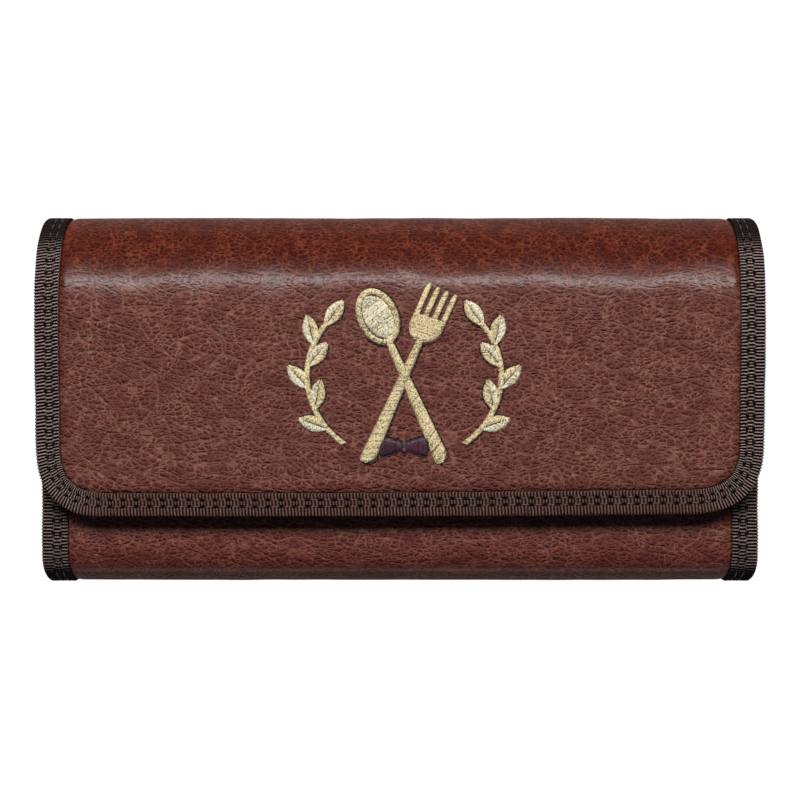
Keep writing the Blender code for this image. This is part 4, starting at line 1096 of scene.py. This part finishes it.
def build_closure():
    """Hook strip under the flap and loop strip on the front panel, with their hooks and loops."""
    half = high("loop_strip").x
    hook_depth = LINING_DEPTHS[1] + SEAT + BAND_THICKNESS
    for node, body, hooked in (("hook_strip", "flap", True), ("loop_strip", "front", False)):
        first, last = corners_of(node)

        def at(x, y, height):
            if hooked:
                return on_cover(x, s_on_flap(y), hook_depth + height)
            return np.stack(np.broadcast_arrays(x, y, last[2] + height), -1)

        x, y = np.meshgrid(np.linspace(-half, half, 60), np.linspace(last[1], first[1], 12))
        made = shell(f"{node}_band", at(x, y, 0.0), at(x, y, -BAND_THICKNESS), x, y)
        dress(made, CLOSURE, "closure", body=body, stands_for=[node])
        pitch = HOOK_PITCH if hooked else LOOP_PITCH
        x = np.arange(-half + pitch, half - pitch / 2, pitch)
        y = np.arange(first[1] + pitch, last[1] - pitch / 2, pitch * 0.9)
        x, y = (c.ravel()[:, None] for c in np.meshgrid(x, y))
        t = np.linspace(0, 1, 7)
        if hooked:
            turn = t * math.radians(250)
            lean = 0.24 * MM * (1 - np.cos(turn))
            rise = 0.34 * MM + 0.26 * MM * np.sin(turn - math.radians(60))
            rise[0] = -0.05 * MM
            shape = at(x, y + lean - 0.2 * MM, rise)
            radius, outward = HOOK_RADIUS, (0.0, 0.35, -1.0)
        else:
            turn = rng.uniform(0, math.pi, x.shape)
            size = rng.uniform(0.5, 1.0, x.shape) * MM
            sway = rng.normal(0, 0.25, x.shape) * MM
            off = (t - 0.5) * size
            rise = 0.42 * MM * np.sin(math.pi * t) * size / MM - 0.06 * MM
            bow = sway * np.sin(math.pi * t)
            shape = at(x + off * np.cos(turn) + bow, y + off * np.sin(turn) + 0.3 * bow, rise)
            radius, outward = LOOP_RADIUS, (0.3, 0.2, 1.0)
        made = tubes(f"{node}_pile", shape, radius, np.array(outward), sides=5)
        dress(made, PILE, "closure", body=body)


def flap_place(points, lift):
    """Places over the leather of the flap, from points (x, y) in the emblem's own frame."""
    points = points + EMBLEM_CENTRE
    s = s_on_flap(points[..., 1])
    x = points[..., 0] / spread(s)
    beyond = np.minimum(beyond_sides(x, s), FLAP_END - s - TAPE_WIDTH)
    return on_cover(x, s, leather_depth(x, s, beyond) - lift)


def turn_points(points, angle, shift=(0.0, 0.0)):
    """Points (x, y) turned anticlockwise and moved."""
    c, s = math.cos(angle), math.sin(angle)
    return points @ np.array(((c, s), (-s, c))) + np.array(shift)


class Embroidery:
    """Collects threads by colour and makes one piece of each colour."""

    def __init__(self):
        self.threads = {}

    def add(self, colour, lines, lifts, radius, tones):
        self.threads.setdefault(colour, []).append((lines, lifts, radius, tones))

    def satin(self, colour, starts, ends, turn=0.0, shift=(0.0, 0.0), arch=0.3 * MM, base=0.0, tone=0.5):
        """Side by side threads from starts to ends, arched over the leather."""
        starts, ends = (turn_points(points, turn, shift) for points in (starts, ends))
        t = np.linspace(0, 1, 9)[:, None]
        lines = starts[:, None] * (1 - t) + ends[:, None] * t
        shape = 1 - np.abs(2 * t[:, 0] - 1) ** 3
        lift = base - 0.12 * MM + (arch + 0.2 * MM) * shape + rng.normal(0, 0.012 * MM, (len(starts), 1))
        tones = np.clip(rng.normal(tone, 0.20, len(starts)), 0, 1)
        self.add(colour, lines, lift, THREAD_RADIUS, tones)

    def run(self, line, turn=0.0, shift=(0.0, 0.0), pitch=1.5 * MM, radius=OUTLINE_RADIUS, base=0.0):
        """Dark running stitches along a line of points."""
        line = turn_points(line, turn, shift)
        length = lengths_along(line)
        count = max(round(length[-1] / pitch), 1)
        u = (np.arange(count)[:, None] + np.linspace(0.0, 0.94, 6)) * length[-1] / count
        lines = points_at(line, length, u)
        lift = base + 0.14 * MM - 0.26 * MM * np.abs(np.linspace(-1, 1, 6)) ** 3 + 0 * u
        self.add("dark", lines, lift, radius, np.clip(rng.normal(0.5, 0.15, count), 0, 1))

    def make(self, name, body, nodes):
        """One piece for each colour and kind of stitch. The first stands for the frame's patches."""
        surfaces = {"gold": GOLD, "cream": CREAM, "plum": PLUM, "dark": OUTLINE}
        for colour, parts in self.threads.items():
            for steps in sorted({lines.shape[1] for lines, *_ in parts}):
                same = [part for part in parts if part[0].shape[1] == steps]
                middles = [flap_place(lines, lift) for lines, lift, _, _ in same]
                radii = [np.full(lines.shape[:2], radius) for lines, _, radius, _ in same]
                tones = [np.repeat(tones[:, None], steps, axis=1) for *_, tones in same]
                threads = (np.vstack(middles), np.vstack(radii), (0.0, 0.0, 1.0))
                made = tubes(f"{name}_{colour}_{steps}", *threads, tone=np.vstack(tones))
                dress(made, surfaces[colour], "thread", body=body, stands_for=nodes)
                nodes = ()


def rows_between(start, end, spacing=THREAD_SPACING):
    return np.linspace(start, end, max(round(abs(end - start) / spacing), 2))


def satin_column(work, colour, y, half, slant, angle=0.0, shift=(0.0, 0.0), **looks):
    """Threads across a straight column whose half width changes with y."""
    ends = [np.stack((hand * half, y + hand * slant * half), -1) for hand in (-1, 1)]
    work.satin(colour, *(turn_points(points, angle, shift) for points in ends), **looks)


def handle_half(y, top_y):
    """Half the width of a handle: a round, wide end that narrows to the neck."""
    end, neck = 0.75 * HANDLE_WIDTH, HANDLE_WIDTH / 3
    straight_half = neck + (end - neck) * np.clip((top_y - y) / (top_y - HANDLE_END_Y - end), 0, 1)
    down = np.clip((HANDLE_END_Y + end - y) / end, 0, 1)
    return straight_half * np.sqrt(1 - down**2 * 0.97)


def embroider_handle(work, tilt, top_y, base):
    y = rows_between(HANDLE_END_Y, top_y)
    half = handle_half(y, top_y)
    satin_column(work, "gold", y, half, 0.5, turn=tilt, base=base, arch=0.42 * MM, tone=0.55)
    y = np.linspace(HANDLE_END_Y - 0.2 * MM, top_y, 40)
    half = handle_half(np.maximum(y, HANDLE_END_Y), top_y) + 0.42 * MM
    work.run(np.stack((half, y), -1), tilt, base=base * 0.5)


def embroider_spoon(work):
    tilt = CUTLERY_TILT
    centre = np.array((0.0, CUTLERY_LENGTH / 2 - SPOON_BOWL[1]))
    embroider_handle(work, tilt, centre[1] - 0.82 * SPOON_BOWL[1], 0.0)
    rim = 1.55 * MM
    inner = SPOON_BOWL - rim
    y = rows_between(-inner[1] * 0.98, inner[1] * 0.98)
    half = inner[0] * np.sqrt(1 - (y / inner[1]) ** 2) + 0.3 * MM
    angle = math.radians(14)
    satin_column(work, "cream", y, half, 0.0, angle, centre, turn=tilt, arch=0.12 * MM, tone=0.6)
    around = 2 * math.pi * (SPOON_BOWL.mean() - rim / 2)
    a = np.linspace(0, 2 * math.pi, round(around / THREAD_SPACING), endpoint=False)
    within, outer = centre + circle(a + 0.10) * inner, centre + circle(a) * SPOON_BOWL
    work.satin("gold", within, outer, tilt, arch=0.32 * MM, base=0.06 * MM)
    for size, first, last in ((0.38 * MM, -150, 70), (-rim - 0.05 * MM, 60, 260)):
        edge = centre + circle(np.radians(np.linspace(first, last, 60))) * (SPOON_BOWL + size)
        work.run(edge, tilt, base=0.1 * MM)


def embroider_fork(work):
    tilt = -CUTLERY_TILT
    width, height = FORK_HEAD
    top_y = CUTLERY_LENGTH / 2
    shoulder = top_y - height
    pitch = (width - FORK_TINE_WIDTH) / (FORK_TINES - 1)
    gap_floor = shoulder + height * 0.45
    embroider_handle(work, tilt, shoulder + 0.6 * MM, 0.34 * MM)
    y = rows_between(shoulder + 0.05 * MM, gap_floor)
    back = shoulder + height * 0.3
    down = np.clip((back - y) / (height * 0.3), 0, 1)
    half = width / 2 * np.sqrt(1 - down**2 * 0.98)
    satin_column(work, "gold", y, half, 0.12, turn=tilt, arch=0.25 * MM, tone=0.6)
    for i in range(FORK_TINES):
        x = -width / 2 + i * pitch + FORK_TINE_WIDTH / 2
        y = rows_between(gap_floor - 0.5 * MM, top_y)
        tip = np.clip((y - top_y + FORK_TINE_WIDTH) / FORK_TINE_WIDTH, 0, 1)
        half = FORK_TINE_WIDTH / 2 * np.sqrt(1 - tip**2 * 0.9)
        satin_column(work, "gold", y, half, 0.6, shift=(x, 0.0), turn=tilt, arch=0.22 * MM, tone=0.62)
        y = np.linspace(gap_floor + 0.2 * MM, top_y - 0.1 * MM, 12)
        edge = np.stack((x + FORK_TINE_WIDTH / 2 + 0.32 * MM + 0 * y, y), -1)
        work.run(edge, tilt, radius=0.13 * MM)
    radii = np.array((width / 2, height * 0.3)) + 0.4 * MM
    edge = (0.0, back) + circle(np.radians(np.linspace(-80, 60, 40))) * radii
    work.run(edge[edge[:, 1] < gap_floor + 0.2 * MM], tilt)


def stem_point(side, angle, offset=0.0):
    return circle(angle) * (SPRIG_RADII + offset) * (side, 1)


def embroider_leaf(work, turn, place, lit):
    """A leaf in two halves: threads slant up from the midrib to the edge."""
    y = rows_between(0.35 * MM, LEAF_LENGTH - 0.1 * MM, 0.30 * MM)
    t = y / LEAF_LENGTH
    half = LEAF_WIDTH / 2 * np.sin(math.pi * np.clip(t, 0.02, 0.98)) ** 0.8 + 0.1 * MM
    root = np.stack((0 * y, np.maximum(y - 1.3 * MM, 0.0)), -1)
    for hand in (-1, 1):
        tip = np.stack((hand * half, y), -1)
        work.satin("cream" if hand == lit else "gold", root, tip, turn, place, arch=0.26 * MM, tone=0.58)
    work.run(np.stack((-lit * (half + 0.33 * MM), y), -1), turn, place)
    vein = np.stack((0 * y, y), -1)[2:-3]
    work.run(vein, turn, place, pitch=1.1 * MM, radius=0.1 * MM, base=0.14 * MM)


def embroider_sprig(work, side):
    first, last = SPRIG_ARC
    count = round((last - first) * SPRIG_RADII.mean() / THREAD_SPACING)
    a = np.linspace(first, last, count)
    half = SPRIG_STEM_WIDTH / 2
    ends = (stem_point(side, a, -half), stem_point(side, a + 0.03, half))
    work.satin("gold", *ends, arch=0.24 * MM, base=0.05 * MM, tone=0.55)
    work.run(stem_point(side, a, side * (half + 0.34 * MM)))
    for i in range(SPRIG_LEAVES):
        angle = first + (last - first) * (i + 1) / SPRIG_LEAVES
        lean = 0.0 if i == SPRIG_LEAVES - 1 else (LEAF_ANGLE if i % 2 else -LEAF_ANGLE)
        embroider_leaf(work, side * (angle + lean), stem_point(side, angle), side)


def embroider_bow(work):
    """A small bow tie: two wings of upright threads and a knot of level ones."""
    length, height = BOW_WING
    knot = BOW_KNOT / 2
    for side in (-1, 1):
        x = rows_between(knot[0] * 0.7, knot[0] + length, 0.30 * MM)
        t = (x - x[0]) / (x[-1] - x[0])
        half = height / 2 * (0.42 + 0.58 * np.sin(math.pi / 2 * t) ** 1.3)
        lean = 0.5 * MM * (t - 0.5)
        ends = [np.stack((side * (x + hand * lean), BOW_CENTRE[1] + hand * half), -1) for hand in (-1, 1)]
        work.satin("plum", *ends, arch=0.30 * MM, tone=0.5)
        edge = np.vstack((ends[1] + (0, 0.3 * MM), ends[0][::-1] - (0, 0.3 * MM)))
        work.run(edge, pitch=1.2 * MM)
    y = rows_between(BOW_CENTRE[1] - knot[1], BOW_CENTRE[1] + knot[1], 0.30 * MM)
    half = knot[0] * np.sqrt(1 - 0.5 * ((y - BOW_CENTRE[1]) / knot[1]) ** 2)
    satin_column(work, "plum", y, half, 0.0, arch=0.34 * MM, base=0.22 * MM, tone=0.75)


def build_embroidery():
    work = Embroidery()
    embroider_spoon(work)
    embroider_fork(work)
    for side in (-1, 1):
        embroider_sprig(work, side)
    embroider_bow(work)
    patches = ["embroidery_cutlery", "embroidery_sprig_left", "embroidery_sprig_right"]
    work.make("embroidery", "flap", patches)


def dress_hard_parts():
    """Materials and rounded edges for the boards and the zip."""
    for nodes, surface, slot, edge in (
        (("back_board", "flap_board", "front_board"), BOARD, "board", 0.1 * MM),
        (("zip_teeth_back", "zip_teeth_front"), TOOTH, "zip_plastic", 0.12 * MM),
        (("zip_stop_left", "zip_stop_right"), TOOTH, "zip_plastic", 0.2 * MM),
        (("zip_slider", "zip_pull"), BRASS, "zip_metal", 0.22 * MM),
    ):
        for node in nodes:
            obj = frame["nodes"][node]
            obj.data.materials.clear()
            obj.data.materials.append(surface)
            bevel = obj.modifiers.new("edges", "BEVEL")
            bevel.width = edge
            bevel.segments = 3
            bevel.limit_method = "ANGLE"
            bevel.harden_normals = True


def lamp(name, angle, size, power):
    """An area lamp at an angle from straight above the front, on the side of the top edge."""
    data = bpy.data.lights.new(name, "AREA")
    data.shape = "RECTANGLE"
    data.size, data.size_y = size
    data.energy = power
    obj = bpy.data.objects.new(name, data)
    bpy.context.scene.collection.objects.link(obj)
    obj.location = (0.0, LAMP_DISTANCE * math.sin(angle), LAMP_DISTANCE * math.cos(angle))
    way = Vector((0.0, 0.0, THICKNESS / 2)) - obj.location
    obj.rotation_euler = way.to_track_quat("-Z", "Y").to_euler()
    return obj


def sees_backdrop(m):
    """How far a ray finds the white backdrop: all of it straight or through glass, a share by gloss."""
    rays = m.node("LightPath").outputs
    seen = m.math("ADD", rays["Is Camera Ray"], rays["Is Transmission Ray"])
    return m.math("MULTIPLY_ADD", rays["Is Glossy Ray"], GLOSS_SHARE, seen, clamp=True)


def build_stage():
    """Camera, lamps, a dim ceiling and a white floor that keeps a little shadow."""
    data = bpy.data.cameras.new("camera")
    data.lens = data.sensor_width * CAMERA_HEIGHT / VIEW_WIDTH
    camera = bpy.data.objects.new("camera", data)
    camera.location = (0.0, CAMERA_Y, THICKNESS + CAMERA_HEIGHT)
    bpy.context.scene.collection.objects.link(camera)
    bpy.context.scene.camera = camera

    lamp("key", *KEY).visible_glossy = False
    lamp("glint", *GLINT).visible_diffuse = False
    lamp("fill", *FILL)

    world = bpy.data.worlds.new("studio")
    bpy.context.scene.world = world
    world.use_nodes = True
    m = Nodes(world.node_tree)
    ceiling = m.mix(sees_backdrop(m), CEILING, WHITE)
    m.feed(m.tree.nodes["Background"].inputs["Color"], ceiling)

    mesh = bpy.data.meshes.new("floor")
    corners = [(x * FLOOR_HALF, y * FLOOR_HALF, 0.0) for x, y in ((-1, -1), (1, -1), (1, 1), (-1, 1))]
    mesh.from_pydata(corners, [], [(0, 1, 2, 3)])
    floor = bpy.data.objects.new("floor", mesh)
    bpy.context.scene.collection.objects.link(floor)
    m = Surface("white_floor", 0.9)
    m.set("Base Color", (0.55, 0.55, 0.55))
    m.set("Specular IOR Level", 0.0)
    seen = m.math("MULTIPLY", sees_backdrop(m), FLOOR_GLOW_SHARE)
    glow = m.node("Emission", WHITE, FLOOR_GLOW)
    mixed = m.node("MixShader", seen, m.shader.outputs[0], glow.outputs[0])
    m.feed(m.tree.nodes["Material Output"].inputs["Surface"], mixed.outputs[0])
    mesh.materials.append(m.material)
    bpy.context.scene.view_settings.view_transform = "Standard"


build_stage()
build_cover()
build_tapes()
build_layers()
build_pockets()
build_divider()
build_front_top()
build_closure()
build_embroidery()
dress_hard_parts()
